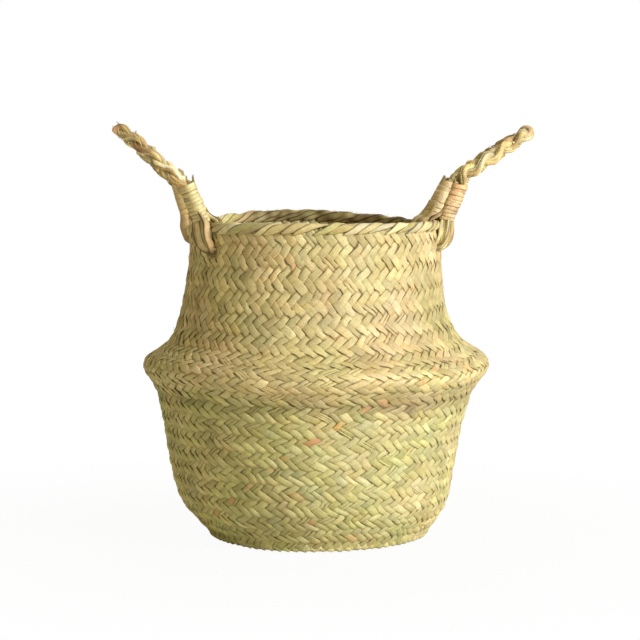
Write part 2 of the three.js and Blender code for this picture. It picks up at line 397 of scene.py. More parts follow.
@dataclass(frozen=True)
class LeafFinish:
    """Dried leaf strip: tint from the piece, fibres along it, painted shade in dark slits at its edges, a
    soft sheen.
    """

    name: str
    fibre_contrast: float = 0.3
    roughness: float = 0.55
    bump: float = 0.00012
    edge: float = 0.62
    edge_end: float = 0.94
    sheen: float = 0.4
    weathered: Colour = (0.44, 0.37, 0.16, 1)
    slit_shade_colour: Colour = (0.045, 0.03, 0.011, 1)

    def make(self) -> Material:
        """Build the material.

        The tint is multiplied by the light of fibres and specks and by a slow drift of hue. It goes to
        the weathered colour in blotches, and to the painted slit shade colour by its strength times how
        far out across the strip it is.

        Returns:
            The material.
        """
        graph = Graph(bpy.data.materials.new(self.name))
        named = {"attribute_name": "tint"}
        tint = graph.node("ShaderNodeAttribute", {}, "Color", **named)
        slit = graph.node("ShaderNodeAttribute", {}, "Alpha", **named)
        uv = graph.node("ShaderNodeUVMap", {}, uv_map="strip")
        place = graph.node("ShaderNodeTexCoord", {}, "Object")
        fibres = graph.noise(graph.stretched(uv, (0.06, 2.2, 1.0)), 1.0, 3.0)
        threads = graph.noise(graph.stretched(uv, (0.16, 7.0, 1.0)), 1.0, 2.0)
        blotches = graph.noise(place, 55.0, 2.0)
        mottle = graph.noise(place, 310.0, 2.0)
        shade = fibres * 0.6 + threads * 0.4
        light = shade * (2 * self.fibre_contrast) + (1 - self.fibre_contrast)
        specks = graph.noise(place, 1100.0, 1.0)
        light = light * (mottle * 0.5 + 0.75) * (specks * 0.5 + 0.75)
        grey = graph.node("ShaderNodeCombineColor", {0: light, 1: light, 2: light * 0.99 + 0.01})
        drift = graph.noise(place, 95.0, 1.0)
        parts = {0: drift * 0.16 + 0.93, 1: 1.01 - drift * 0.02, 2: 1.16 - drift * 0.3}
        hue = graph.node("ShaderNodeCombineColor", parts)
        colour = graph.blend(1.0, graph.blend(1.0, tint, hue, "MULTIPLY"), grey, "MULTIPLY")
        weather = ((blotches - 0.5) * 1.3 + 0.08).maths("MAXIMUM", 0.0)
        colour = graph.blend(weather, colour, self.weathered)
        # Painted shade: the strip's edges darken to the slit shade colour by the slit strength in the tint's
        # alpha.
        across = graph.node("ShaderNodeSeparateXYZ", {0: uv}, 1)
        side = across.maths("WRAP", 2.0, -2.0).maths("ABSOLUTE")
        rim = ((side - self.edge) * (1 / (self.edge_end - self.edge))).maths("MAXIMUM", 0.0)
        colour = graph.blend(rim.maths("MINIMUM", 1.0) * slit, colour, self.slit_shade_colour)
        rough = fibres * 0.3 + (self.roughness - 0.15)
        bump = graph.node("ShaderNodeBump", {"Height": shade, "Strength": 0.9, "Distance": self.bump})
        return graph.surface(colour, rough, bump, Specular_IOR_Level=self.sheen)


@dataclass(frozen=True)
class ShadeCoreFinish:
    """Matt brown of the painted shade core inside the weave, seen through the gaps between strips."""

    colour: Colour = (0.28, 0.215, 0.09, 1)
    roughness: float = 0.85

    def make(self) -> Material:
        """Build the material."""
        return Graph(bpy.data.materials.new("core_painted_shade")).surface(self.colour, self.roughness)


@dataclass(frozen=True)
class FloorFinish:
    """Pale studio floor that takes a faint shadow near the basket and is white farther off."""

    near: float = 0.95
    fade_start: float = 0.12
    fade_end: float = 0.36
    paper: Colour = (0.78, 0.75, 0.68, 1)

    def make(self) -> Material:
        """Build the material.

        To the camera it glows white by a share that rises from near to 1 as the distance from the
        basket goes from the fade's start to its end. The rest, and all other light, sees the paper.

        Returns:
            The material.
        """
        graph = Graph(bpy.data.materials.new("studio_floor"))
        path = graph.node("ShaderNodeLightPath", {}, "Is Camera Ray")
        place = graph.node("ShaderNodeTexCoord", {}, "Object")
        away = graph.node("ShaderNodeVectorMath", {0: place}, 1, operation="LENGTH")
        fade = ((away - self.fade_start) * (1 / (self.fade_end - self.fade_start))).maths("MAXIMUM", 0.0)
        glow = fade.maths("MINIMUM", 1.0) * (1 - self.near) + self.near
        paper = graph.node("ShaderNodeBsdfDiffuse", {"Color": self.paper})
        light = graph.node("ShaderNodeEmission", {"Color": (1, 1, 1, 1), "Strength": 1.0})
        return graph.close(graph.node("ShaderNodeMixShader", {0: path * glow, 1: paper, 2: light}))


# Closed meshes of strips


@dataclass
class Tubes:
    """A stack of closed tubes: points on rings along each tube, tint with the strength of painted slit shade,
    strip place.
    """

    points: Array
    tint: Array
    along: Array
    across: Array

    def build(self, name: str, material: Material) -> Object:
        """Make one closed mesh of all the tubes.

        Args:
            name: Object name.
            material: Its material.

        Returns:
            The object.
        """
        tubes, steps, ring, _ = self.points.shape
        index = np.arange(tubes * steps * ring).reshape(tubes, steps, ring)
        near = index[:, :-1]
        far = index[:, 1:]
        sides = np.stack([near, np.roll(near, -1, 2), np.roll(far, -1, 2), far], -1).reshape(-1, 4)
        caps = np.concatenate([index[:, 0, ::-1], index[:, -1]])
        points = self.points.reshape(-1, 3)
        corner = points[sides]
        volume = np.einsum("ij,ij->i", corner[:, 0], np.cross(corner[:, 1], corner[:, 2])).sum()
        volume += np.einsum("ij,ij->i", corner[:, 0], np.cross(corner[:, 2], corner[:, 3])).sum()
        if volume < 0:
            sides = sides[:, ::-1]
            caps = caps[:, ::-1]
        loops = np.concatenate([sides.ravel(), caps.ravel()]).astype(np.int32)
        sizes = np.concatenate([np.full(len(sides), 4), np.full(len(caps), ring)]).astype(np.int32)
        mesh = bpy.data.meshes.new(name)
        mesh.vertices.add(len(points))
        mesh.vertices.foreach_set("co", (points * MM).astype(np.float32).ravel())
        mesh.loops.add(len(loops))
        mesh.loops.foreach_set("vertex_index", loops)
        mesh.polygons.add(len(sizes))
        starts = np.concatenate([[0], np.cumsum(sizes)[:-1]]).astype(np.int32)
        mesh.polygons.foreach_set("loop_start", starts)
        mesh.polygons.foreach_set("use_smooth", np.ones(len(sizes), bool))
        mesh.update(calc_edges=True)
        shape = (tubes, steps, ring)
        tint = np.broadcast_to(self.tint, (*shape, 4))
        colour = mesh.attributes.new("tint", "FLOAT_COLOR", "POINT")
        colour.data.foreach_set("color", tint.astype(np.float32).ravel())
        uv = np.stack([np.broadcast_to(self.along, shape), np.broadcast_to(self.across, shape)], -1)
        layer = mesh.uv_layers.new(name="strip")
        layer.data.foreach_set("uv", uv.reshape(-1, 2)[loops].astype(np.float32).ravel())
        mesh.materials.append(material)
        return placed(name, mesh)


def plain(tint: Array, slit: float = 0.0) -> Array:
    """Give linear colours an even strength of painted slit shade as a fourth part."""
    return np.concatenate([tint, np.full((*tint.shape[:-1], 1), slit)], -1)


def joined(parts: list[Tubes]) -> Tubes:
    """Join stacks of tubes that have the same steps and ring.

    Args:
        parts: The stacks.

    Returns:
        One stack.
    """
    shape = parts[0].points.shape[1:3]
    return Tubes(
        np.concatenate([part.points for part in parts]),
        np.concatenate([np.broadcast_to(part.tint, (*part.points.shape[:3], 4)) for part in parts]),
        np.concatenate([np.broadcast_to(part.along, (len(part.points), *shape)) for part in parts]),
        np.concatenate([np.broadcast_to(part.across, (len(part.points), *shape)) for part in parts]),
    )


# The plaited wall


@dataclass(frozen=True)
class WallSize:
    """Outline of the basket's outside from its flat base to its neck, in millimetres."""

    outline: tuple[Pair, ...] = (
        (54, 0), (63, 0.9), (66.4, 5.2), (73.0, 13), (78.6, 22), (81.3, 32), (84.2, 47), (87.2, 65),
        (90.3, 78), (92.6, 86.5), (96.2, 92.6), (100.4, 98.2), (101.6, 103), (98.6, 107.4),
        (91.8, 111.8), (84.8, 118), (80, 128), (77, 139), (75.2, 151), (74.1, 163), (73.9, 173),
    )
    top: float = 186.9
    depth: float = 0.75
    step: float = 0.1
    strips: int = 80
    strip_widths: tuple[Pair, ...] = (
        (0, 3.6), (20, 3.83), (82, 3.83), (104, 4.1), (140, 4.36),
    )
    start_radius: float = 61.5
    foot_radius: float = 75.0
    warps: tuple[Floats, ...] = (
        (5, 0.23, 0.4, 0.2, 0.12), (11, -0.41, 2.1, 0.15, 0.1), (19, 0.62, 4.0, 0.11, 0.08),
        (-14, 0.9, 1.2, 0.1, 0.07), (31, 1.1, 5.2, 0.06, 0.06),
    )


class Wall:
    """The plaited skin's middle surface, read by row of crossings and angle round the basket."""

    def __init__(self, size: WallSize) -> None:
        """Draw the skin's outline and divide it into rows of crossings.

        The outline is a smooth cubic through its points, each of which is left in the direction from the
        point before to the point after. A row is as high as half a strip's width over the cosine of the
        strip's slope, where the sine is the strip's width over its share of the way round.

        Args:
            size: The outline's points and the strips' widths.
        """
        self.size = size
        knots = np.array(size.outline, float)
        before = np.vstack([knots[:1], knots[:-2]])
        after = np.vstack([knots[2:], knots[-1:]])
        start, end = knots[:-1], knots[1:]
        leave, arrive = (end - before) / 2, (after - start) / 2
        share = np.linspace(0, 1, 40, endpoint=False)[None, :, None]
        start, end, leave, arrive = (item[:, None, :] for item in (start, end, leave, arrive))
        curve = (2 * start - 2 * end + leave + arrive) * share**3
        curve += (3 * end - 3 * start - 2 * leave - arrive) * share**2 + leave * share + start
        points = np.vstack([curve.reshape(-1, 2), knots[-1:], [[knots[-1, 0], size.top]]])
        length = arc_length(points)
        even = np.arange(0, length[-1], size.step)
        points = between(even, length, points)
        tangent = unit(np.gradient(points, axis=0))
        self.normal = np.stack([tangent[:, 1], -tangent[:, 0]], -1)
        self.points = points - self.normal * size.depth
        width = np.interp(self.points[:, 1], *np.array(size.strip_widths, float).T)
        pitch = 2 * math.pi * np.maximum(self.points[:, 0], 1) / size.strips
        ratio = np.minimum(width / pitch, 0.975)
        row_height = width / 2 / np.sqrt(1 - ratio**2)
        first = int(np.argmax(self.points[:, 0] > size.start_radius))
        self.rows = np.cumsum(size.step / row_height)
        self.rows -= self.rows[first]
        self.last_row = float(self.rows[-1])

    def level(self, rows: Array) -> Array:
        """Height above the floor, in millimetres, of rows of crossings."""
        return np.interp(rows, self.rows, self.points[:, 1])

    def warped(self, row: Array, angle: Array) -> tuple[Array, Array]:
        """Shift places slowly to and fro over the skin, as weaving by hand does.

        Rows move by the sum of sines, and angles by the sum of cosines, of waves that run round and up
        the wall. The shift fades out at the base and at the rim.

        Args:
            row: Rows of crossings up from the base.
            angle: Angle round the basket, in radians.

        Returns:
            Shifted rows and angles.
        """
        free = smoothstep(0, 5, row) * (1 - smoothstep(self.last_row - 6, self.last_row - 1, row))
        free = free * (1 - 0.35 * smoothstep(84, 104, self.level(row)))
        turns, climb, phase, up, aside = np.array(self.size.warps).T.reshape(5, -1, *[1] * np.ndim(row))
        wave = turns * angle + climb * row + phase
        pitch = 2 * math.pi / self.size.strips
        moved_row = row + free * (up * np.sin(wave)).sum(0)
        return moved_row, angle + free * pitch * (aside * np.cos(wave)).sum(0)

    def place(self, row: Array, angle: Array, height: Array) -> Array:
        """Put points on or off the skin.

        Args:
            row: Rows of crossings up from the base.
            angle: Angle round the basket, in radians.
            height: Millimetres outward from the middle surface.

        Returns:
            Points in millimetres.
        """
        row, angle = self.warped(row, angle)
        radius, level = np.moveaxis(between(row, self.rows, self.points), -1, 0)
        out, up = np.moveaxis(between(row, self.rows, self.normal), -1, 0)
        radius = radius + out * height
        level = level + up * height
        return by_hand(around(radius, angle, level))

    def base_level(self, radius: Array) -> tuple[Array, Array, Array]:
        """Read the skin under the base by radius.

        Args:
            radius: Distance from the middle.

        Returns:
            Height of the middle surface, and the outward and upward parts of its normal.
        """
        low = self.points[:, 0] < self.size.foot_radius
        table = np.vstack([[0, self.size.depth], self.points[low]])
        normal = np.vstack([[0, -1], self.normal[low]])
        level, out, up = (np.interp(radius, table[:, 0], column) for column in (table[:, 1], *normal.T))
        return level, out, up


def by_hand(points: Array) -> Array:
    """Lean the basket as a hand-made one does, with its rim lower toward the handles.

    Each level shifts along X by a table. The waist rises and falls by sines of twice and five times the
    angle round, the rim drops by the angle's cosine squared and more at the back, the foot tips by a
    line along X, and the body swells by sines of three and seven times the angle.

    Args:
        points: Points in millimetres.

    Returns:
        Moved points.
    """
    levels = np.array([0, 8, 20, 35, 60, 84, 98, 112, 135, 155, 170, 200])
    shift = np.array([2.0, 1.3, -0.5, -1.5, -1.6, -0.6, 0.5, 0.1, -1.2, -0.6, 0, 0])
    moved = points.copy()
    turn = np.arctan2(points[..., 1], points[..., 0])
    level = points[..., 2]
    moved[..., 0] += np.interp(level, levels, shift)
    waist = bell(level, 103, 22)
    moved[..., 2] += waist * (0.9 * np.sin(2 * turn + 0.6) + 0.5 * np.sin(5 * turn + 1.9))
    back = smoothstep(-0.3, 0.3, np.sin(turn))
    sides = np.cos(turn) ** 2 * (1.2 + 5.2 * back) - 0.5 * back
    moved[..., 2] -= smoothstep(150, 188, level) * sides
    tip = 0.013 * np.clip(points[..., 0] + 35, 0, 120) + 0.05 * np.clip(-44 - points[..., 0], 0, 30)
    moved[..., 2] += tip * (1 - smoothstep(0, 60, level))
    swell = bell(level, 60, 40)
    factor = 1 + swell * (0.004 * np.sin(3 * turn + 0.4) + 0.003 * np.sin(7 * turn))
    moved[..., :2] *= factor[..., None]
    return moved


def float_wave(place: Array) -> Array:
    """Cosine of four rows' length: 1 in the middle of a float and -1 in the middle of its way under."""
    return np.cos(math.pi * (place - 0.5) / 2)


def float_end(place: Array) -> Array:
    """Half of one minus the sine of four rows' length: 1 where the float's wave rises, 0 where it falls."""
    return 0.5 - 0.5 * np.sin(math.pi * (place - 0.5) / 2)


def twill(place: Array) -> Array:
    """Height of a strip that goes over two and under two, from -1 to 1.

    It is the hyperbolic tangent of the float's wave, which flattens its tops.

    Args:
        place: Rows along the strip.

    Returns:
        The height.
    """
    sharpness = 1.7
    return np.tanh(sharpness * float_wave(place)) / math.tanh(sharpness)


@dataclass(frozen=True)
class StripSize:
    """Cross-section of a leaf strip, in millimetres, and how finely it is drawn.

    Half widths are in strip widths, for falling and for rising strips, and so are the wobbles aside. The
    dyed strip has a number, and a strength of dye for each of its floats from the foot up.
    """

    thickness: float = 0.36
    half_widths: Pair = (0.53, 0.485)
    wobbles: Pair = (0.022, 0.026)
    pinch: float = 0.06
    neck_lift: float = 0.42
    low_lift: float = 0.5
    neck_crown: float = 0.32
    low_crown: Pair = (0.52, 0.42)
    steps: int = 4
    top_points: int = 6
    bottom_points: int = 2
    split_share: float = 0.12
    dyed_strip: int = 43
    dyed: Floats = (0, 0, 0, 0, 0.75, 0.75, 0.25, 0.45, 0.9, 0.8, 1.0, 0.5, 0.2, 0.45, 0.6)


def strip_ring(size: StripSize) -> tuple[Array, Array]:
    """Outline of a strip's section.

    Args:
        size: Strip sizes.

    Returns:
        Places across from -1 to 1, and 0 for points on top or 1 for those underneath.
    """
    top = np.sin(np.linspace(-1, 1, size.top_points) * math.pi / 2)
    bottom = np.linspace(0.86, -0.86, size.bottom_points)
    across = np.concatenate([top, bottom])
    lower = np.concatenate([np.zeros(size.top_points), np.ones(size.bottom_points)])
    return across, lower


@dataclass(frozen=True)
class Wear:
    """Where the wall is loose and creased, and where painted shade darkens it.

    Levels are in millimetres, from and to or middle and width. Turns are angles round the basket, in
    radians. Blushes are sRGB bytes.
    """

    lower_body: Pair = (84, 100)
    tight: Pair = (78, 90)
    # Creases where the slits open wider and carry more painted shade.
    open_creases: tuple[Triple, ...] = ((0.85, 87, 6), (0.4, 107, 7))
    # Turns where the weave is loose and its gaps carry stronger painted shade.
    loose_shade_turn: float = -0.4
    loose_shade_neck_turn: float = 3.35
    # Painted shade in the crease under the belly ridge.
    crease: Pair = (86.5, 4.5)
    # Painted shade on the flaring neck.
    flare: Pair = (134, 20)
    # Painted shade under the belly fold on the right front: its level band and its turn.
    crease_shade_band: Pair = (88, 7)
    crease_shade_turn: float = -0.8
    # Levels of the painted shade on the neck's right side.
    neck_shade_levels: Pair = (126, 142)
    # Turn of the painted shade on the lower body's left side.
    side_shade_turn: float = math.radians(205)
    blushes: tuple[Bytes, ...] = ((240, 178, 112), (238, 156, 112), (240, 198, 118))


class Weave:
    """The wall's two families of strips, woven over two and under two."""

    quarters: int = 4

    def __init__(self, wall: Wall, size: StripSize, wear: Wear, holes: Array, rng: Random) -> None:
        """Keep what the weave is made of, and draw the slow waves of its colour.

        Args:
            wall: The skin it lies in.
            size: Strip sizes.
            wear: Where it is worn.
            holes: Where the handle ropes pass through.
            rng: Random source.
        """
        self.wall, self.size, self.wear = wall, size, wear
        self.holes, self.rng = holes, rng
        self.waves = np.stack([rng.integers(2, 13, 18) * rng.choice([-1, 1], 18),
                               rng.uniform(0.05, 0.38, 18), rng.uniform(0, 2 * math.pi, 18)])

    def patches(self, angle: Array, rows: Array) -> Array:
        """Read slow changes of colour over the wall, the same for both families: sums of nine sines.

        Args:
            angle: Angle round the basket.
            rows: Rows of crossings up from the base.

        Returns:
            Two fields of mean 0 and spread 1, along a first axis.
        """
        turns, climb, phase = self.waves[:, :, None, None]
        waves = np.sin(turns * angle + climb * rows + phase)
        return np.stack([waves[:9].sum(0), waves[9:].sum(0)]) / math.sqrt(4.5)

    def lanes(self, lay: Lay) -> Array:
        """Divide the family into ribbons, some of them split lengthwise.

        Args:
            lay: Which family.

        Returns:
            Rows of strip number, middle and half width, both in strip widths.
        """
        rows = []
        full = lay.choose(*self.size.half_widths)
        for number in range(self.wall.size.strips):
            chance = self.rng.random()
            if chance < self.size.split_share * 0.3:
                rows += [(number, shift, full / 3 - 0.008) for shift in (-0.32, 0.0, 0.32)]
            elif chance < self.size.split_share:
                cut = self.rng.uniform(-0.16, 0.16)
                rows.append((number, (cut - full) / 2 - 0.006, (cut + full) / 2 - 0.009))
                rows.append((number, (cut + full) / 2 + 0.006, (full - cut) / 2 - 0.009))
            else:
                rows.append((number, self.rng.normal(0, 0.008), full * self.rng.uniform(0.97, 1.01)))
        return np.array(rows)

    def each_float(self, lay: Lay, count: int, rows: Array) -> Array:
        """Draw a value for each float of each ribbon, changing only while the ribbon runs under.

        Args:
            lay: Which family.
            count: Number of ribbons.
            rows: Places along the ribbons.

        Returns:
            Values of mean 0 and spread 1, as count rows.
        """
        place = (rows + lay.choose(1.5, -0.5)) / 4 + 2.25
        index = np.floor(place).astype(int)
        values = self.rng.normal(0, 1, (count, index.max() + 1))
        share = smoothstep(0, 0.5, place - index)
        return values[:, index - 1] * (1 - share) + values[:, index] * share

    def ribbons(self, lay: Lay) -> Tubes:
        """Make the family's ribbons.

        A ribbon goes half a pitch round for each row up. Its height off the skin is the lift times the
        twill wave, plus a tilt across and a crown of one minus the square of the place across. It
        narrows by the pinch where it goes under a neighbour, and where a slit opens. Its tint is painted
        darker where it goes under, a painted shade, most at one end of its float.

        Args:
            lay: Which family.

        Returns:
            The ribbons.
        """
        size, rng, wear = self.size, self.rng, self.wear
        lanes = self.lanes(lay)
        count = len(lanes)
        number, middle, half = lanes.T
        rows = np.arange(0.5, self.wall.last_row - 0.5, 1 / size.steps)
        across, lower = strip_ring(size)
        low = 1 - smoothstep(*wear.lower_body, self.wall.level(rows))
        over = twill(rows) * lay.value
        if lay is Lay.FALLING:
            over = over * (1 - 0.2 * low) + 0.2 * low * float_wave(rows)
        step = math.pi / self.wall.size.strips
        turn = (2 * number[:, None] - lay.value * rows) * step
        patches = self.patches(turn, rows)
        # Loose places, on the right side and on the left of the neck: their gaps open wider and carry
        # stronger painted shade.
        loose = 1.7 * smoothstep(0.3, 0.95, np.cos(turn - wear.loose_shade_turn))
        loose = loose + 1.2 * smoothstep(0.62, 0.97, np.cos(turn - wear.loose_shade_neck_turn)) * (1 - low)
        slits = self.slits(lay, rows, over, patches[1] + loose)
        lift = size.neck_lift + (size.low_lift - size.neck_lift) * low
        lift = lift * (over + 0.13 * wander(rng, count, rows, (3.1, 7.7)))
        lift = lift + lay.choose(0.07 + 0.05 * low, -0.05 - 0.05 * low)
        lift = lift + 0.08 * self.each_float(lay, count, rows)
        tilt = 0.07 + 0.08 * wander(rng, count, rows, (9.0, 23.0)) + 0.1 * self.each_float(lay, count, rows)
        slow, each = size.wobbles
        drift = slow * wander(rng, count, rows, (6.0, 17.0)) + each * self.each_float(lay, count, rows)
        plump = size.neck_crown * (1 - low) + lay.choose(*size.low_crown) * low
        crown = plump * (0.5 + half[:, None]) * (0.7 + 0.4 * np.clip(over, 0, 1))
        pinch = (size.pinch + 0.01 * low) * bell(float_wave(rows) * lay.value, 0.08, 0.33)
        pinch = pinch * np.clip(1 + 0.7 * self.each_float(lay, count, rows), 0, 1.6)
        swell = 1 - pinch + lay.choose(0.03, 0.02) * low + 0.045 * self.each_float(lay, count, rows)
        reach = half[:, None, None] * swell[:, :, None] * (1 - 0.27 * slits)
        sideways = middle[:, None, None] + drift[:, :, None] + reach * across
        height = lift[:, :, None] + tilt[:, :, None] * across + crown[:, :, None] * (1 - across**2)
        height = height - 0.12 * slits - size.thickness * lower - 0.25 * crown[:, :, None] * lower
        row = rows[:, None] + lay.value * sideways
        angle = (2 * number[:, None, None] - lay.value * rows[:, None] + sideways) * step
        points = self.parted(self.wall.place(row, angle, height))
        tint = self.tints(lay, number.astype(int), rows, low, patches)
        # Painted shade: the tint darkens where the ribbon dives under its neighbours, most at one end of its
        # float.
        uneven = np.clip(0.75 + 0.55 * wander(rng, count, rows, (2.3, 6.1)), 0, 1.5)
        sunk = 0.55 + 0.75 * float_end(rows) * (1 - 0.4 * low)
        sunk = (1 - smoothstep(0.05, 0.7, np.abs(over))) * sunk
        sunk = sunk * uneven * (0.82 - 0.24 * low)
        tint = tint * (1 - sunk[:, :, None] * [0.4, 0.47, 0.58])
        tint = np.broadcast_to(tint[:, :, None, :], (*slits.shape, 3))
        tint = np.concatenate([tint, slits[..., None]], -1)
        along = rows[:, None] * 3.0 + rng.uniform(0, 400, (count, 1, 1))
        return Tubes(points, tint, along, across + strip_lanes(count))

    def slits(self, lay: Lay, rows: Array, over: Array, patches: Array) -> Array:
        """Choose where a ribbon's edges stand a little off their neighbours.

        An edge opens where random waves, raised by the creases and the loose places, pass a threshold.
        The strength is that times how far the ribbon lies on top and how near it is to one end of its
        float, and it grows in proportion from the ribbon's middle to its edges. It narrows the ribbon, and
        the material also paints the edge dark by it, as shade in the gap. In the lower body a faint
        painted shade outline runs along the sides of the floats.

        Args:
            lay: Which family.
            rows: Places along the ribbons.
            over: Height of the ribbons along their way.
            patches: A slow field at each place of each ribbon.

        Returns:
            Strength from 0 to 1 for each ribbon, place and ring point.
        """
        across, _ = strip_ring(self.size)
        level = self.wall.level(rows)
        base = sum(share * bell(level, middle, width) for share, middle, width in self.wear.open_creases)
        base = base + 0.3 * patches
        waves = [wander(self.rng, len(patches), rows, (1.9, 3.3, 7.1)) for _ in range(2)]
        edges = [smoothstep(0.45, 1.0, wave + base) for wave in waves]
        notch = 0.1 + 0.9 * smoothstep(0.25, 0.75, float_end(rows))
        strength = lay.choose(1.0, 0.6) * smoothstep(-0.4, 0.4, over) * notch
        low = 1 - smoothstep(*self.wear.tight, level)
        strength = strength * (1 - 0.5 * low)
        # Painted shade outline along the sides of the floats in the lower body.
        outline = 0.12 * low * smoothstep(-0.2, 0.6, over)
        left, right = (np.maximum(edge * strength, outline) for edge in edges)
        return np.where(across < 0, left[:, :, None], right[:, :, None]) * np.abs(across)

    def parted(self, points: Array) -> Array:
        """Part the strips round the holes that the handle ropes pass through.

        A point moves away from the hole by its distance, at most 2 mm sideways and 1.6 mm up or down,
        and 1.3 mm inward, each times a bell of its distance.

        Args:
            points: Points in millimetres.

        Returns:
            Moved points.
        """
        moved = points
        for hole in self.holes:
            out = unit(hole * [1, 1, 0])
            aside = np.array([-out[1], out[0], 0])
            apart = points - hole
            sideways, upward = apart @ aside, apart[..., 2]
            near = np.exp(-((sideways / 4.6) ** 2) - (upward / 3.8) ** 2)
            push = near * np.sign(sideways) * np.minimum(np.abs(sideways), 2.0)
            rise = near * np.sign(upward) * np.minimum(np.abs(upward), 1.6)
            moved = moved + push[..., None] * aside + rise[..., None] * [0, 0, 1]
            moved = moved - 1.3 * near[..., None] * out
        return moved

    def tints(self, lay: Lay, number: Array, rows: Array, low: Array, patches: Array) -> Array:
        """Colour each strip, and each of its floats a little apart.

        A float's colour is a share of its strip's and a share of its own, drawn a third of the way to
        the palette's usual colour and then to its usual hue. Then come the slow fields, painted shade on
        the lower body's left side, blushes, and painted shade on the rising strips, on the flare, in the
        crease, on the right of the neck and under the belly fold on the right, each as a factor.

        Args:
            lay: Which family.
            number: Strip number of each ribbon.
            rows: Places along the strips.
            low: How far each place is in the lower body, from 0 to 1.
            patches: The two slow fields at each place of each ribbon.

        Returns:
            Linear colours for each ribbon and place.
        """
        rng, wear = self.rng, self.wear
        count = self.wall.size.strips
        floats = np.floor((rows + lay.choose(1.5, -0.5)) / 4).astype(int) + 2
        total = floats.max() + 1
        table = []
        for zone in (Zone.NECK, Zone.LOWER):
            strip = PALETTES[zone].pick(rng, (count, 1))
            each = PALETTES[zone].pick(rng, (count, total))
            share = rng.uniform(0.3, 0.8, (count, total, 1))
            bright = rng.normal(*((1.0, 0.08) if zone is Zone.NECK else (0.93, 0.07)), (count, total, 1))
            usual = to_linear(np.average(PALETTES[zone].colours, axis=0, weights=PALETTES[zone].shares))
            mixed = (strip * (1 - share) + each * share) * 0.68 + usual * 0.32
            even = usual * (mixed @ LUMA / (usual @ LUMA))[..., None]
            table.append((mixed * 0.62 + even * 0.38) * bright)
        upper, lower = (item[number][:, floats] for item in table)
        tint = upper * (1 - low[:, None]) + lower * low[:, None]
        green, warm = (smoothstep(0.2, 1.5, side * patches[0])[..., None] for side in (1, -1))
        tint = tint * (1 + green * [-0.045, -0.005, -0.06]) * (1 + warm * [0.035, -0.03, 0.04])
        tint = tint * (1 + 0.05 * patches[1])[..., None]
        turn = (2 * number[:, None] - lay.value * rows) * math.pi / count
        # Painted shade: the lower body darker and less blue on its left side, away from the key light.
        side_shade = low * smoothstep(0.2, 0.95, np.cos(turn - wear.side_shade_turn))
        tint = tint * (1 - side_shade[..., None] * [0.1, 0.075, 0.17])
        chance = np.interp(np.arange(total) / total, [0.05, 0.35, 0.6], [0.01, 0.02, 0.01])
        peach = (rng.random((count, total)) < chance * lay.choose(1.5, 0.4)).astype(float)
        if lay is Lay.RISING:
            peach[self.size.dyed_strip, :len(self.size.dyed)] = self.size.dyed
        peach = peach[number][:, floats]
        spot = smoothstep(-0.9, 0.4, wander(rng, len(number), rows, (2.6, 4.1))) * peach
        spot = spot * lay.choose(0.35, 0.9)
        blush = to_linear(wear.blushes)[rng.integers(0, 3, (count, total))][number][:, floats]
        tint = tint * (1 - spot[..., None]) + blush * spot[..., None]
        tint = tint * (1 + 0.06 * wander(rng, len(number), rows, (5.0, 13.0)))[:, :, None]
        # Painted shade: rising strips, which lie lower, a little darker, more so in the lower body.
        if lay is Lay.RISING:
            tint = tint * (0.96 - 0.05 * low[:, None])
        level = self.wall.level(rows)
        # Painted shade on the flaring neck, and in the crease under the belly ridge, which is also browner.
        flare = bell(level, *wear.flare)
        # Painted shade under the belly fold on the right front, browner.
        fold_shade = smoothstep(0.72, 0.97, np.cos(turn - wear.crease_shade_turn)) * bell(level, *wear.crease_shade_band)
        # Painted shade: the neck a little darker on its right side, between these levels.
        neck_shade = smoothstep(0.5, 0.95, np.cos(turn - wear.loose_shade_turn)) * smoothstep(*wear.neck_shade_levels, level)
        dark = bell(level, *wear.crease) * rng.uniform(0.06, 0.36, (len(number), 1))
        tint = tint * (1 - 0.07 * flare - dark - 0.055 * neck_shade)[..., None]
        tint = tint * (1 - dark[..., None] * [0, 0.05, 0.2])
        tint = tint * (1 - fold_shade[..., None] * [0.13, 0.22, 0.16])
        return np.clip(tint, 0.02, 0.95)

    def build(self, material: Material) -> list[Object]:
        """Build both families, each as quarters of the wall.

        Args:
            material: Their material.

        Returns:
            The pieces.
        """
        made = []
        for lay in Lay:
            tubes = self.ribbons(lay)
            cuts = np.linspace(0, len(tubes.points), self.quarters + 1).astype(int)
            for quarter, (first, last) in enumerate(zip(cuts[:-1], cuts[1:])):
                part = Tubes(tubes.points[first:last], tubes.tint[first:last],
                             tubes.along[first:last], tubes.across[first:last])
                made.append(part.build(f"wall_strips_{lay.name.lower()}_{quarter + 1}", material))
        return made


# The painted shade core inside the weave, and the base


@dataclass(frozen=True)
class ShadeCoreSize:
    """A dark cup just inside the strips, a painted shade for the gaps, in millimetres from the skin's middle.
    """

    outside: float = -0.1
    inside: float = -0.24
    top: float = 184.5
    lowest: float = 0.15
    hub: float = 0.01
    steps: int = 130
    around: int = 180


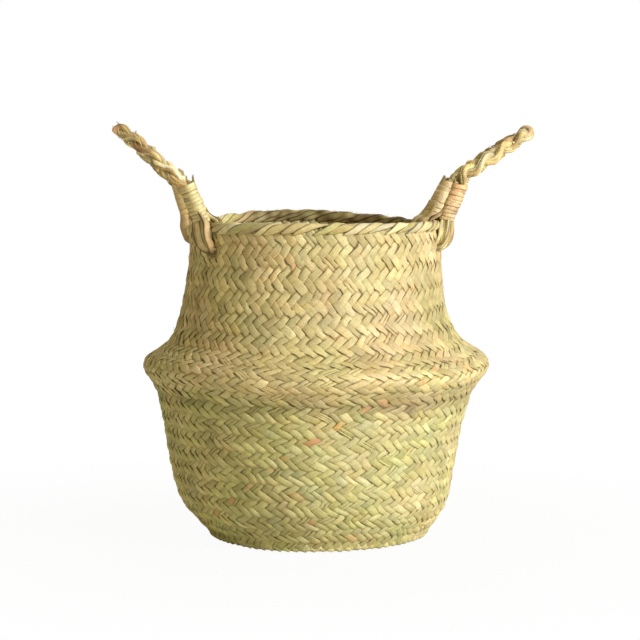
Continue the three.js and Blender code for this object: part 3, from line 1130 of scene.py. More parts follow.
@dataclass(frozen=True)
class ShadeCore:
    """A dark closed cup inside the weave: painted shade that closes the gaps between its strips."""

    wall: Wall
    size: ShadeCoreSize

    def build(self, material: Material) -> Object:
        """Build the painted shade core as one closed cup: the skin's outline, moved in along its normal,
        turned round.

        Args:
            material: Their material.

        Returns:
            The cup.
        """
        size, wall = self.size, self.wall
        last = int(np.argmax(wall.points[:, 1] > size.top))
        pick = np.linspace(0, last, size.steps).astype(int)
        level, outward = wall.points[pick], wall.normal[pick]
        outer, inner = level + outward * size.outside, level + outward * size.inside
        profile = np.concatenate([[[size.hub, outer[0, 1]]], outer, inner[::-1], [[size.hub, inner[0, 1]]]])
        turn = np.linspace(0, 2 * math.pi, size.around, endpoint=False)[:, None]
        shape = (size.around, len(profile))
        points = by_hand(around(profile[:, 0], turn, np.broadcast_to(profile[:, 1], shape)))
        points[:, (0, -1), :2] = points[:, (0, -1), :2].mean(0)
        points[..., 2] = np.maximum(points[..., 2], size.lowest)
        mesh = bpy.data.meshes.new("woven_shade_core")
        index = np.arange(points.shape[0] * points.shape[1]).reshape(shape)
        index[:, 0], index[:, -1] = index[0, 0], index[0, -1]
        here, there = index, np.roll(index, -1, 0)
        faces = np.stack([here[:, :-1], there[:, :-1], there[:, 1:], here[:, 1:]], -1).reshape(-1, 4)
        quads = [tuple(dict.fromkeys(face)) for face in faces.tolist()]
        mesh.from_pydata((points.reshape(-1, 3) * MM).tolist(), [], quads)
        loose = bmesh.new()
        loose.from_mesh(mesh)
        bmesh.ops.delete(loose, geom=[vert for vert in loose.verts if not vert.link_faces], context="VERTS")
        bmesh.ops.recalc_face_normals(loose, faces=loose.faces)
        loose.to_mesh(mesh)
        loose.free()
        mesh.materials.append(material)
        return placed("woven_shade_core", mesh)


@dataclass(frozen=True)
class MatSize:
    """The flat woven base, in millimetres."""

    radius: float = 64.6
    strip_width: float = 4.2
    half_share: float = 0.48
    crown: float = 0.2
    lowest: float = 0.02
    step: float = 1.5


@dataclass(frozen=True)
class BaseMat:
    """Straight strips woven across the base, following it up to the wall's first strips."""

    wall: Wall
    size: MatSize
    strip: StripSize
    rng: Random

    def build(self, material: Material) -> Object:
        """Build the mat.

        A strip is as long as the circle's chord where it lies: twice the root of the radius squared less
        its offset squared. Its height off the base is the lift times the twill wave, plus a crown of one
        minus the square of the place across. Both families lie at 45 degrees to the axes.

        Args:
            material: Its material.

        Returns:
            The mat.
        """
        size, width = self.size, self.size.strip_width
        reach = int(size.radius / width)
        numbers = np.arange(-reach, reach + 1)
        offset = numbers * width
        half_length = np.sqrt(np.maximum(size.radius**2 - offset**2, 60))
        share = np.linspace(-1, 1, int(2 * size.radius / size.step))
        across, lower = strip_ring(self.strip)
        run = half_length[:, None] * share
        over = twill(numbers[:, None] + run / width)[:, :, None]
        long = np.broadcast_to(run[:, :, None], (*run.shape, len(across)))
        wide = np.broadcast_to(offset[:, None, None] + size.half_share * width * across, long.shape)
        lanes = strip_lanes(len(numbers))
        parts = []
        for lay in Lay:
            height = self.strip.low_lift * (over * lay.value) + size.crown * (1 - across**2)
            height = height - self.strip.thickness * lower
            first, second = lay.choose((long, wide), (wide, long))
            x, y = (first - second) / math.sqrt(2), (first + second) / math.sqrt(2)
            radius = np.hypot(x, y)
            level, out, up = self.wall.base_level(radius)
            level = np.maximum(level + up * height, size.lowest)
            scale = (radius + out * height) / np.maximum(radius, 1)
            points = by_hand(np.stack([x * scale, y * scale, level], -1))
            tint = PALETTES[Zone.LOWER].pick(self.rng, (len(numbers), 1))[:, :, None, :]
            parts.append(Tubes(points, plain(tint), long + 9.7 * lanes, across + lanes))
        return joined(parts).build("base_mat", material)


# The folded rim


@dataclass(frozen=True)
class BorderSize:
    """The folded rim, in millimetres."""

    folds: int = 54
    top: float = 188.2
    bottom: float = 182.4
    outside: float = 75.0
    inside: float = 70.4
    slant: float = 37.0
    half_width: float = 3.0
    crown: float = 0.5
    overlap: float = 0.5
    ragged: float = 1.5
    # Turn in degrees from which the inside of the folds is painted darker as shade.
    shade_from: float = -50.0
    steps: int = 30


@dataclass(frozen=True)
class Border:
    """Strip ends folded slantwise over the rim, each a little over the next."""

    size: BorderSize
    strip: StripSize
    rng: Random

    def build(self, material: Material) -> Object:
        """Build the border.

        A fold runs over the rim's section from its outer to its inner edge, and meanwhile round the
        basket by its slant over the rim's radius. It is widest at the top, by a sine of its share to
        the power 0.4, and one edge lies over the next fold.

        Args:
            material: Its material.

        Returns:
            The border.
        """
        size, rng = self.size, self.rng
        middle = (size.outside + size.inside) / 2
        half = (size.outside - size.inside) / 2
        bend = np.array([
            (middle + half * 0.5, size.bottom - 0.5), (size.outside - 0.3, size.bottom + 0.8),
            (size.outside, size.bottom + 2.6), (size.outside + 0.1, size.top - 2.4),
            (middle + half * 0.7, size.top - 0.5), (middle, size.top), (middle - half * 0.7, size.top - 0.5),
            (size.inside - 0.2, size.top - 2.6), (size.inside, size.bottom + 1.6),
            (middle - half * 0.5, size.bottom - 0.5),
        ])
        knots = arc_length(bend)
        along = np.linspace(0, knots[-1], size.steps)
        line = eased(between(along, knots, bend), 2)
        tangent = unit(np.gradient(line, axis=0))
        normal = np.stack([tangent[:, 1], -tangent[:, 0]], -1)
        across, lower = strip_ring(self.strip)
        share = along / knots[-1]
        count = size.folds
        start = (np.arange(count) + rng.uniform(-0.22, 0.22, count)) * 2 * math.pi / count
        slope = math.atan2(knots[-1], size.slant)
        narrow = np.sin(math.pi * np.clip(share, 0.02, 0.98)) ** 0.4
        half_width = size.half_width * narrow * rng.uniform(0.7, 1.15, (count, 1))
        slant = size.slant * rng.uniform(0.9, 1.1, (count, 1))
        aside = half_width[:, :, None] * across
        sideways = slant[:, :, None] * share[:, None] + aside * math.sin(slope)
        angle = start[:, None, None] + sideways / middle
        shingle = -size.overlap * across + 0.2 * wander(rng, count, along, (9.0, 21.0))[:, :, None]
        height = shingle + size.crown * (1 - across**2) - self.strip.thickness * lower
        raised = size.ragged * rng.uniform(-0.2, 1, (count, 1, 1)) * (1 - share[:, None])
        place = np.clip(along[:, None] - aside * math.cos(slope) + raised, 0, knots[-1])
        spot = between(place, along, line) + between(place, along, normal) * height[..., None]
        radius, level = np.moveaxis(spot, -1, 0)
        bumps = np.sin(3 * angle + 1.0) + 0.7 * np.sin(23 * angle) + 0.6 * np.sin(37 * angle + 2)
        level = level + (0.3 + 0.2 * smoothstep(0, 0.3, np.sin(angle))) * bumps * smoothstep(180, 188, level)
        points = by_hand(around(radius, angle, level))
        tint = PALETTES[Zone.NECK].each(rng, count, 0.97, 0.1)
        # Painted shade: the inner side of the folds darker on the back and right, where the rim's inside lies
        # in shade.
        faced = np.sin(angle - math.radians(size.shade_from))
        fold_shade = smoothstep(0.0, 0.45, faced) * smoothstep(0.36, 0.5, share)[:, None]
        fold_shade = fold_shade * (0.8 + 0.25 * wander(rng, count, along, (4.0, 7.0)))[:, :, None]
        tint = tint * (1 - fold_shade[..., None] * [0.73, 0.77, 0.85])
        lanes = strip_lanes(count)
        # The folds' edges carry painted slit shade.
        tubes = Tubes(points, plain(tint, 0.7), along[:, None] + 7.3 * lanes, across + lanes)
        return tubes.build("rim_folds", material)


# Where the handles stand


class End(Enum):
    """Which of a handle's two legs."""

    FRONT = -1
    BACK = 1


@dataclass(frozen=True)
class LegSize:
    """One leg of a handle, in millimetres and degrees.

    It stands a place round from the handle's middle, leans out, and carries a whipping over a stretch of
    it. The kick is how much farther the rope leans out at the top, the warmth how orange the whipping
    is, and the sink how much lower the rope crosses the rim.
    """

    place: float
    lean: float
    wrap: Pair
    kick: float
    warmth: float
    sink: float


@dataclass(frozen=True)
class HandleSize:
    """One rope handle, in millimetres and degrees, as in the solids.

    The sag and the twist are how far the loop is off its plane, the stub is how far the cut tail stands
    up at the back, and the flank is the colour of the outer leaves, as sRGB bytes; on the right handle
    it is lifted paler as painted light, on leaves that face away from the key light.
    """

    name: str
    turn: float
    front: LegSize
    back: LegSize
    loop_lean: float
    loop_depth: float
    sag: float
    twist: float
    stub: float
    flank: Bytes
    leg_length: float = 21.5
    leg_tilt: float = 9.0
    shoulder_tilt: float = 13.0
    hole_height: float = 171.5
    hole_radius: float = 73.5
    eye_outer: float = 79.8
    eye_inner: float = 67.4
    lean_start: float = 189.0
    hinge_gap: float = 4.6
    tail_spacing: float = 3.9
    shoulder: float = 19.0
    crown: float = 13.0

    @property
    def side(self) -> int:
        """Side of the basket that the handle is on: 1 at +X or -1 at -X."""
        return 1 if self.turn == 0 else -1

    def leg(self, end: End) -> LegSize:
        """Sizes of the front or back leg."""
        return self.front if end is End.FRONT else self.back


HANDLES = (
    HandleSize(
        "left", turn=180.0, loop_lean=52.7, loop_depth=42.4, sag=3.2, twist=-1.2, stub=10.0,
        flank=(206, 176, 124),
        front=LegSize(place=28.0, lean=15.0, wrap=(-0.6, 21.4), kick=2.3, warmth=-0.2, sink=0.8),
        back=LegSize(place=25.5, lean=13.5, wrap=(-4.6, 19.5), kick=0.5, warmth=0.12, sink=4.2),
    ),
    HandleSize(
        "right", turn=0.0, loop_lean=59.2, loop_depth=46.8, sag=1.4, twist=3.0, stub=4.8,
        # The flank colour is lifted paler here: painted light on leaves turned from the key light.
        flank=(238, 224, 160),
        front=LegSize(place=23.7, lean=15.5, wrap=(-1.2, 20.2), kick=2.0, warmth=0.6, sink=0.8),
        back=LegSize(place=20.5, lean=25.0, wrap=(-4.2, 20.6), kick=0.8, warmth=0.12, sink=4.2),
    ),
)


def turn_z(degrees: float) -> Array:
    """Matrix of a turn about the upright axis."""
    cosine, sine = math.cos(math.radians(degrees)), math.sin(math.radians(degrees))
    return np.array([[cosine, -sine, 0], [sine, cosine, 0], [0, 0, 1]])


def turn_x(degrees: float) -> Array:
    """Matrix of a turn about the X axis."""
    cosine, sine = math.cos(math.radians(degrees)), math.sin(math.radians(degrees))
    return np.array([[1, 0, 0], [0, cosine, -sine], [0, sine, cosine]])


class HandleFrame:
    """Places of one handle's legs, hinge line and loop, in the basket's frame."""

    def __init__(self, size: HandleSize) -> None:
        """Lay the hinge line through the tops of both legs, and the loop's plane through the hinge line.

        Args:
            size: Sizes of the handle.
        """
        self.size = size
        top = size.leg_length + size.hinge_gap
        tops = {end: self.to_world(self.leg_point(end, top), end) for end in End}
        span = tops[End.BACK] - tops[End.FRONT]
        self.hinge = (tops[End.FRONT] + tops[End.BACK]) / 2
        self.half_span = float(np.linalg.norm(span)) / 2
        self.across = unit(span)
        out = math.radians(size.loop_lean)
        away = turn_z(size.turn)[:, 0] * math.sin(out) + np.array([0, 0, math.cos(out)])
        self.away = unit(away - away @ self.across * self.across)
        self.facing = np.cross(self.across, self.away)

    def hand(self, end: End) -> int:
        """Which way a leg stands from the middle of its handle, in its own frame: 1 or -1."""
        return end.value * self.size.side

    def leg_axes(self, end: End) -> tuple[Array, Array]:
        """Read a leg's directions in its own frame.

        Args:
            end: The leg.

        Returns:
            Unit vectors up along the leg and from it toward the mouth.
        """
        lean = math.radians(self.size.leg(end).lean)
        sine, cosine = math.sin(lean), math.cos(lean)
        return np.array([sine, 0, cosine]), np.array([-cosine, 0, sine])

    def leg_point(self, end: End, along: float, inward: float = 0.0) -> Array:
        """Point of a leg in its own frame: so far up its line and so far in toward the mouth."""
        up, toward = self.leg_axes(end)
        return np.array([self.size.eye_outer, 0, self.size.lean_start]) + along * up + inward * toward

    def bound_point(self, end: End, along: float, inward: float = 0.0) -> Array:
        """Point of the rope or whipping, which lean out from the leg by the kick for each 20 mm up it."""
        kick = self.size.leg(end).kick * min(max(along / 20, 0), 1.1)
        return self.leg_point(end, along, inward - 0.4 - kick)

    def to_world(self, points: Array, end: End, vector: bool = False) -> Array:
        """Bring points of a leg's frame into the basket's.

        Args:
            points: The points.
            end: The leg.
            vector: Whether these are directions.

        Returns:
            Points in the basket's frame.
        """
        hand = self.hand(end)
        pivot = np.zeros(3) if vector else np.array([0, 0, self.size.hole_height])
        tilted = (points - pivot) @ turn_x(hand * self.size.leg_tilt).T + pivot
        return tilted @ turn_z(self.size.turn + hand * self.size.leg(end).place).T

    def hole(self, end: End) -> Array:
        """Where a leg passes through the wall."""
        return self.to_world(np.array([self.size.hole_radius, 0, self.size.hole_height]), end)

    def loop(self, steps: int) -> tuple[Array, Array]:
        """Read the loop's middle line and its outward sides.

        Each half is a cubic Bezier curve from the hinge line over the shoulder to the crown, in the
        loop's plane. The line sags off that plane toward the hinge line.

        Args:
            steps: Points in each half.

        Returns:
            Points and unit vectors in the basket's frame.
        """
        size, span = self.size, self.half_span
        lean = math.radians(size.shoulder_tilt)
        shoulder = np.array([span - size.shoulder * math.sin(lean), size.shoulder * math.cos(lean)])
        knots = np.array([[span, 0], shoulder, [size.crown, size.loop_depth], [0, size.loop_depth]])
        share = np.linspace(0, 1, steps)[:, None]
        weights = [(1 - share) ** 3, 3 * share * (1 - share) ** 2, 3 * share**2 * (1 - share), share**3]
        half = sum(weight * knot for weight, knot in zip(weights, knots))
        flat = np.vstack([half * [-1, 1], half[-2::-1]])
        slope = unit(np.gradient(flat, axis=0))
        side = np.stack([-slope[:, 1], slope[:, 0]], -1)
        plane = np.stack([self.across, self.away])
        off = size.sag + flat[:, 0] * math.tan(math.radians(size.twist))
        off = off * (1 - smoothstep(0, 0.9, flat[:, 1] / size.loop_depth)) * size.side
        return self.hinge + flat @ plane + off[:, None] * self.facing, side @ plane


# The handles' ropes


@dataclass(frozen=True)
class RopeSize:
    """The plaited rope, in millimetres, with a strand's half sizes in the plait, lying flat and spread."""

    periods: float = 2.5
    half_width: float = 2.8
    half_depth: float = 1.95
    strand_widths: Triple = (3.05, 1.6, 2.1)
    strand_depths: Triple = (2.3, 1.3, 0.95)
    bend_in: float = 0.75
    flat_spacing: float = 2.3
    root_spacing: float = 3.4
    root_depths: Triple = (-0.35, 0.45, -0.15)
    leaf_edges: Floats = (0, 75, 170, 275)
    leaf_shares: Floats = (0.0, 0.08, 0.5, 0.92)
    leaf_heights: Floats = (0.8, 0.96, 0.92, 1.1)
    # Painted shade and light of each leaf of a strand: dark in the fold, a little lighter on the last leaf.
    leaf_shades: Floats = (0.34, 0.88, 1.0, 1.08)
    crown_slim: float = 0.14
    step: float = 0.9


@dataclass(frozen=True)
class Rope:
    """One handle's rope, from tail to tail: three strands plaited, side by side under the whippings."""

    frame: HandleFrame
    size: RopeSize
    rng: Random

    def leg_line(self, end: End) -> tuple[Array, Array, Array]:
        """Follow the rope from its tail round the rim to just below the hinge line.

        It goes down the leg's inner side, over the rim, down inside, out through the hole and up the leg.
        Each of these parts is a list of points, with how far the rope spreads at each.

        Args:
            end: Which leg.

        Returns:
            Points and sideways vectors in the basket's frame, and each point's flatness and spread.
        """
        place, size = self.frame, self.frame.size
        leg = size.leg(end)
        inner, hole = size.eye_inner + 1.6, size.hole_height
        tail = (leg.wrap[1] + 1, 15, 11, 7, 3.5)
        parts = (
            ([place.bound_point(end, along, size.tail_spacing) for along in tail], (0, 0, 0, 0.1, 0.5)),
            ([(inner + 5.0, 0, 190.6 - leg.sink), (inner + 2.4, 0, 190.0 - leg.sink),
              (inner + 0.6, 0, 188.0 - leg.sink)], (0.9, 0.9, 0.8)),
            ([(inner, 0, 182.5), (inner, 0, 177.0), (inner + 0.8, 0, hole + 1.6)], (0.8, 0.7, 0.5)),
            ([(inner + 2.8, 0, hole + 0.1), (73.2, 0, hole - 0.1), (76.0, 0, hole + 0.5)], (0.4, 0.35, 0.5)),
            ([(78.0, 0, hole + 2.6), (79.4, 0, hole + 6.5), (80.0, 0, hole + 11.0), (79.9, 0, hole + 15.5)],
             (0.8, 1.0, 1.0, 0.85)),
            ([place.bound_point(end, along) for along in (1.5, 5, 10, 14, 17.5)], (0.5, 0.1, 0, 0, 0)),
        )
        points = np.array([point for line, _ in parts for point in line])
        spread = np.concatenate([shares for _, shares in parts])
        flat = np.ones(len(points))
        flat[-1] = 0.6
        side = place.to_world(float(place.hand(end)) * SIDEWAYS[None], end, vector=True)
        return place.to_world(points, end), np.repeat(side, len(points), 0), np.column_stack([flat, spread])

    def line(self) -> tuple[Array, ...]:
        """Follow the whole rope, in even steps along a line through its legs and its loop.

        Returns:
            Points, unit vectors along the rope's width and its depth, columns of how flat and how spread
            the rope lies, from 0 to 1, and its phase in the plait, in periods.
        """
        front, front_side, front_table = self.leg_line(End.FRONT)
        back, back_side, back_table = self.leg_line(End.BACK)
        loop, loop_side = (item[::3] for item in self.frame.loop(40))
        points = np.vstack([front, loop, back[::-1]])
        sides = np.vstack([front_side, loop_side, back_side[::-1]])
        table = np.vstack([front_table, np.zeros((len(loop), 2)), back_table[::-1]])
        length = arc_length(points)
        first, last = length[len(front)], length[len(front) + len(loop) - 1]
        even = np.linspace(0, length[-1], int(length[-1] / self.size.step))
        full = eased(between(even, length, np.column_stack([points, sides, table])), 6)
        phase = (even - first) / (last - first) * self.size.periods
        tangent = unit(np.gradient(full[:, :3], axis=0))
        width_way = squared(unit(full[:, 3:6]), tangent)
        return full[:, :3], width_way, np.cross(tangent, width_way), smoothstep(0, 1, full[:, 6:]), phase

    def section(self) -> tuple[Array, Array, Array, Array]:
        """Shape a strand's outline as leaves folded each over the next.

        Returns:
            Angle, height, leaf number and painted shade of each ring point.
        """
        size = self.size
        edges = np.radians([*size.leaf_edges, 360])
        leaves, shares = len(size.leaf_edges), len(size.leaf_shares)
        angle = edges[:-1, None] + np.diff(edges)[:, None] * np.array(size.leaf_shares)
        heights = np.broadcast_to(size.leaf_heights, (leaves, shares))
        shades = np.broadcast_to(size.leaf_shades, (leaves, shares))
        return angle.ravel(), heights.ravel(), np.repeat(np.arange(leaves), shares), shades.ravel()

    def tints(self, along: Array, leaf: Array, fold: Array) -> Array:
        """Colour a strand's leaves: each changes between two colours of the palette along its way, darkened
        by the painted fold shade.

        Args:
            along: Lengths along the strand.
            leaf: Leaf number of each ring point.
            fold: Painted shade of each place and ring point.

        Returns:
            Linear colours of each place and ring point.
        """
        rng, leaves = self.rng, len(self.size.leaf_edges)
        pair = PALETTES[Zone.ROPE].pick(rng, (2, leaves, 1))
        first, second = pair * rng.normal(1, 0.17, (2, leaves, 1, 1))
        change = smoothstep(-0.5, 0.5, wander(rng, leaves, along, (23.0, 37.0)))[..., None]
        colours = first * (1 - change) + second * change
        aged = 1 + 0.16 * wander(rng, leaves, along, (9.0, 14.0, 37.0))
        return 1.07 * (colours * aged[..., None])[leaf].transpose(1, 0, 2) * fold[..., None]

    def strand(self, number: int, path: tuple[Array, ...]) -> Tubes:
        """Shape one strand along the rope.

        In the plait its middle is off the rope's by the sine of its phase across and the sine of twice
        the phase in depth, and its section leans by the cosine. Where the rope lies flat, the strands
        lie side by side at an even spacing, which widens where the rope spreads over the rim. Its tint
        carries painted shade in the leaves' folds, in the crevices near the rope's middle and between
        strands that lie flat.

        Args:
            number: Which strand, from 0 to 2.
            path: The rope's line.

        Returns:
            The strand.
        """
        size, rng = self.size, self.rng
        points, width_way, depth_way, table, lay = path
        flat, spread = table.T
        free = 1 - flat
        along = np.arange(len(points)) * size.step
        round_, swell, leaf, shade = self.section()
        spacing = size.flat_spacing * (1 - spread) + size.root_spacing * spread
        slim = 1 - size.crown_slim * bell(lay / size.periods, 0.5, 0.22)
        phase = 2 * math.pi * (lay + number / 3) + 0.2 * np.sin(along / 17.0)
        wide = size.half_width * slim * free * np.sin(phase) + flat * (number - 1) * spacing
        deep = size.half_depth * slim * free * np.sin(2 * phase)
        deep = deep + 0.3 * flat * wander(rng, 1, along, (13.0, 23.0))[0] + size.root_depths[number] * spread
        half_wide, half_deep = (
            plaited * free + lying * (flat - spread) + rooted * spread
            for plaited, lying, rooted in (size.strand_widths, size.strand_depths)
        )
        half_wide = half_wide * slim * (1 + 0.07 * wander(rng, 1, along, (11.0, 27.0))[0])
        half_deep = half_deep * slim * (1 + 0.07 * wander(rng, 1, along, (9.0, 31.0))[0])
        wide = wide + 0.2 * free * wander(rng, 1, along, (8.0, 15.0))[0]
        deep = deep + 0.2 * free * wander(rng, 1, along, (7.0, 13.0))[0]
        turn = round_ + (along / 26.0 + rng.uniform(0, 6) + 0.5 * np.sin(along / 9.0))[:, None]
        lean = (size.bend_in * np.cos(phase) * free)[:, None]
        # How strongly each leaf shows its fold, both in relief and in painted fold shade.
        fold_shade = np.clip(0.75 + 0.6 * wander(rng, len(size.leaf_edges), along, (19.0, 43.0)), 0.1, 1.5)[leaf].T
        ragged = 1 + (swell - 1) * fold_shade + 0.015 * wander(rng, len(round_), along, (6.0, 15.0)).T
        flat_way = half_wide[:, None] * ragged * np.cos(turn)
        thin_way = half_deep[:, None] * ragged * np.sin(turn)
        aside = wide[:, None] + flat_way * np.cos(lean) - thin_way * np.sin(lean)
        away = deep[:, None] + flat_way * np.sin(lean) + thin_way * np.cos(lean)
        ring = points[:, None, :] + aside[..., None] * width_way[:, None, :]
        ring = ring + away[..., None] * depth_way[:, None, :]
        tint = self.tints(along, leaf, 1 + (shade - 1) * np.clip(fold_shade, 0, 1))
        # Painted shade in the crevices near the rope's middle, and at the sides of strands that lie flat side
        # by side.
        sunk = np.hypot(aside, away * 1.3) / (size.half_width + size.strand_widths[0])
        tint = tint * (1 - (1 - smoothstep(0.15, 0.75, sunk)) * 0.55 * free[:, None])[..., None]
        tint = tint * (1 - 0.5 * flat[:, None] * np.abs(np.cos(turn)) ** 8)[..., None]
        return Tubes(ring[None], plain(tint[None]), along[:, None] + 50 * number, round_ * 0.7 + 9 * number)

    def build(self, material: Material) -> Object:
        """Build the rope's three strands as one piece.

        Args:
            material: Its material.

        Returns:
            The rope.
        """
        path = self.line()
        strands = joined([self.strand(number, path) for number in range(3)])
        return strands.build(f"{self.frame.size.name}_handle_rope", material)


@dataclass(frozen=True)
class FraySize:
    """Loose leaf edges along the rope, in millimetres."""

    count: int = 70
    length: Pair = (3.0, 9.0)
    half_width: float = 0.42
    thickness: float = 0.12
    steps: int = 9


@dataclass(frozen=True)
class Frays:
    """Thin leaf edges that lift off one handle's rope."""

    rope: Rope
    size: FraySize
    rng: Random

    def build(self, material: Material) -> Object:
        """Build the loose edges.

        Each starts on the skin of a strand and lifts off it by the square of its share of its length.

        Args:
            material: Their material.

        Returns:
            The loose edges.
        """
        size, rng, rope = self.size, self.rng, self.rope.size
        points, width_way, depth_way, table, lay = self.rope.line()
        free = np.flatnonzero(table[:, 0] < 0.1)
        length = rng.uniform(*size.length, (size.count, 1))
        start = rng.uniform(free[0], free[-1] - 10, (size.count, 1))
        share = np.linspace(0, 1, size.steps)
        place = start + share * length / rope.step
        strand = rng.integers(0, 3, (size.count, 1)) / 3
        row = np.arange(len(points))
        phase = 2 * math.pi * (np.interp(place, row, lay) + strand)
        turn = rng.uniform(0, 2 * math.pi, (size.count, 1)) + 0.5 * share
        off = 0.96 + rng.uniform(0.1, 0.5, (size.count, 1)) * share**2
        aside = rope.half_width * np.sin(phase) + rope.strand_widths[0] * off * np.cos(turn)
        away = rope.half_depth * np.sin(2 * phase) + rope.strand_depths[0] * off * np.sin(turn)
        middle, wide, deep = (between(place, row, item) for item in (points, width_way, depth_way))
        line = middle + aside[..., None] * wide + away[..., None] * deep
        out = np.cos(turn)[..., None] * wide + np.sin(turn)[..., None] * deep
        along = unit(np.gradient(line, axis=1))
        side = unit(np.cross(along, out))
        half = size.half_width * rng.uniform(0.5, 1.5, (size.count, 1)) * (1 - 0.8 * share**2)
        shape = fibres(line, side, np.cross(side, along), half, size.thickness * (1 - 0.6 * share))
        tint = PALETTES[Zone.ROPE].each(rng, size.count, 1, 0.2)
        tubes = Tubes(shape, plain(np.clip(tint, 0, 0.95)), place[:, :, None], 0.4 * DIAMOND[:, 0])
        return tubes.build(f"{self.rope.frame.size.name}_handle_frays", material)


# The handles' roots


@dataclass(frozen=True)
class RootLeafSize:
    """Broad outer leaves between a whipping and its hole in the wall, in millimetres."""

    outer_places: Floats = (-3.3, 0.1, 3.4)
    middle_places: Floats = (-3.0, 0.4, 3.1)
    inner_places: Floats = (-3.6, 0.3, 3.8)
    flank_places: Floats = (-5.2, 5.2)
    half_width: float = 2.2
    flank_half_width: float = 3.3
    thickness: float = 0.35
    steps: int = 28
    blush: Bytes = (214, 160, 116)


@dataclass(frozen=True)
class RootLeaves:
    """The leaves that hug the rim between the whippings and the holes of one handle."""

    frame: HandleFrame
    size: RootLeafSize
    rng: Random

    def paths(self, end: End) -> Array:
        """Lay out the leaves of one leg in its own frame.

        A kind of leaf has its places aside, two points on the leg and six below them, down to the hole.
        A leaf lies nearer the wall by 1.1 mm times the square of its place aside over 5.5 mm.

        Args:
            end: The leg.

        Returns:
            Path points of each leaf.
        """
        place, size, rng = self.frame, self.size, self.rng
        hole, sink = place.size.hole_height, place.size.leg(end).sink
        rows = (
            (size.outer_places, ((6, -1.0), (1.0, -1.5)),
             ((81.2, 186.4), (81.5, 182.4), (80.8, 178.0), (79.2, 174.0), (75.6, hole - 1.2),
              (72.4, hole - 1.0))),
            (size.middle_places, ((6, 1.2), (1.5, 1.0)),
             ((78.8, 186.8), (77.2, 182.0), (76.6, 177.5), (76.3, 174.0), (74.9, hole + 0.2),
              (72.4, hole - 0.4))),
            (size.inner_places, ((6, 4.6), (2.5, 4.6)),
             ((73.6, 191.1 - sink), (70.4, 190.2 - sink), (68.5, 187.5 - sink), (68.3, 182.0), (68.6, 176.0),
              (71.0, hole))),
            (size.flank_places, ((6, 0.4), (1.0, 0.2)),
             ((79.5, 186.4), (79.4, 182.4), (78.8, 178.0), (77.6, 174.4), (75.0, hole - 0.4),
              (72.4, hole - 1.0))),
        )
        narrow = np.array([0.7, 0.8, 0.95, 1.0, 1.0, 0.85, 0.5, 0.3])
        lines = []
        for places, bound, free in rows:
            line = [place.bound_point(end, along, inward) for along, inward in bound]
            line += [(radius, 0, level) for radius, level in free]
            aside = np.array(places)[:, None] + rng.normal(0, 0.4, (len(places), len(line)))
            points = np.array(line)[None] + rng.normal(0, 0.22, (len(places), len(line), 1)) * [1.0, 0, 0]
            points = points - (np.abs(aside / 5.5) ** 2 * 1.1)[..., None] * [1.0, 0, 0]
            lines.append(points + (aside * narrow)[..., None] * SIDEWAYS)
        return np.concatenate(lines)

    def build(self, material: Material) -> Object:
        """Build the leaves.

        A leaf follows its path's points with the corners eased. Its section is arched by the crown times
        one minus the square of the place across.

        Args:
            material: Their material.

        Returns:
            The leaves.
        """
        size, rng, place = self.size, self.rng, self.frame
        across, under = leaf_ring(0.55, 0.8)
        parts = []
        for end in End:
            knots = self.paths(end)
            count, last = len(knots), knots.shape[1] - 1
            spot = np.linspace(0, last, size.steps)
            first = np.minimum(spot.astype(int), last - 1)
            share = (spot - first)[:, None]
            line = eased(knots[:, first] * (1 - share) + knots[:, first + 1] * share, 3)
            tangent = unit(np.gradient(line, axis=1))
            lean = rng.normal(0, 0.2, (count, 1))
            radial = np.arange(count)[:, None] >= count - len(size.flank_places)
            side = np.stack([np.where(radial, 1.0, lean), np.where(radial, lean, 1.0), 0 * lean], -1)
            side = squared(side, tangent)
            half = size.half_width * rng.uniform(0.85, 1.15, (count, 1))
            half = np.where(radial, size.flank_half_width, half)
            half = half * np.interp(spot, [0, 1, 3, 5, 7], [0.8, 0.8, 1.1, 1.0, 0.5])
            crown = np.where(radial, 1.3, 0.7)[..., None]
            height = crown * (1 - across**2) - size.thickness * under
            points = line[:, :, None, :] + (half[:, :, None] * across)[..., None] * side[:, :, None, :]
            points = points + height[..., None] * np.cross(side, tangent)[:, :, None, :]
            tint = PALETTES[Zone.BAND].pick(rng, (count, 1)) * rng.normal(0.98, 0.1, (count, 1, 1))
            tint = np.where(radial[..., None], to_linear(place.size.flank), tint)
            tint = tint * (1 + 0.2 * radial * wander(rng, count, spot, (2.3, 4.9)))[..., None]
            blush = bell(spot, 3.6, 1.0) * rng.uniform(-0.3, 0.5, (count, 1)).clip(0) * ~radial
            tint = tint * (1 - blush[..., None]) + to_linear(size.blush) * blush[..., None]
            # Painted shade: the leaves go dark toward the hole, where they dive into the wall, and their
            # edges carry painted slit shade.
            tint = tint * (1 - 0.75 * smoothstep(5.3, 6.8, spot)[:, None])
            tint = plain(np.clip(tint, 0, 0.95), 0.55)[:, :, None, :]
            lanes = strip_lanes(count)
            along = (spot * 3.5)[:, None] + 11.3 * lanes
            parts.append(Tubes(place.to_world(points, end), tint, along, across + lanes))
        return joined(parts).build(f"{place.size.name}_handle_root_leaves", material)


@dataclass(frozen=True)
class WhippingSize:
    """A flat strip wound round a leg and its tail, in millimetres; sizes run from top to bottom."""

    front_pitch: float = 2.15
    back_pitch: float = 3.2
    overlap: float = 0.66
    thickness: float = 0.4
    shares: Floats = (0, 0.5, 1)
    half_deep: Floats = (4.0, 4.1, 3.8)
    half_wide: Floats = (4.7, 5.6, 5.0)
    steps_per_turn: int = 30
    squareness: float = 2.6
    tail_count: int = 9
    orange: Bytes = (240, 186, 128)


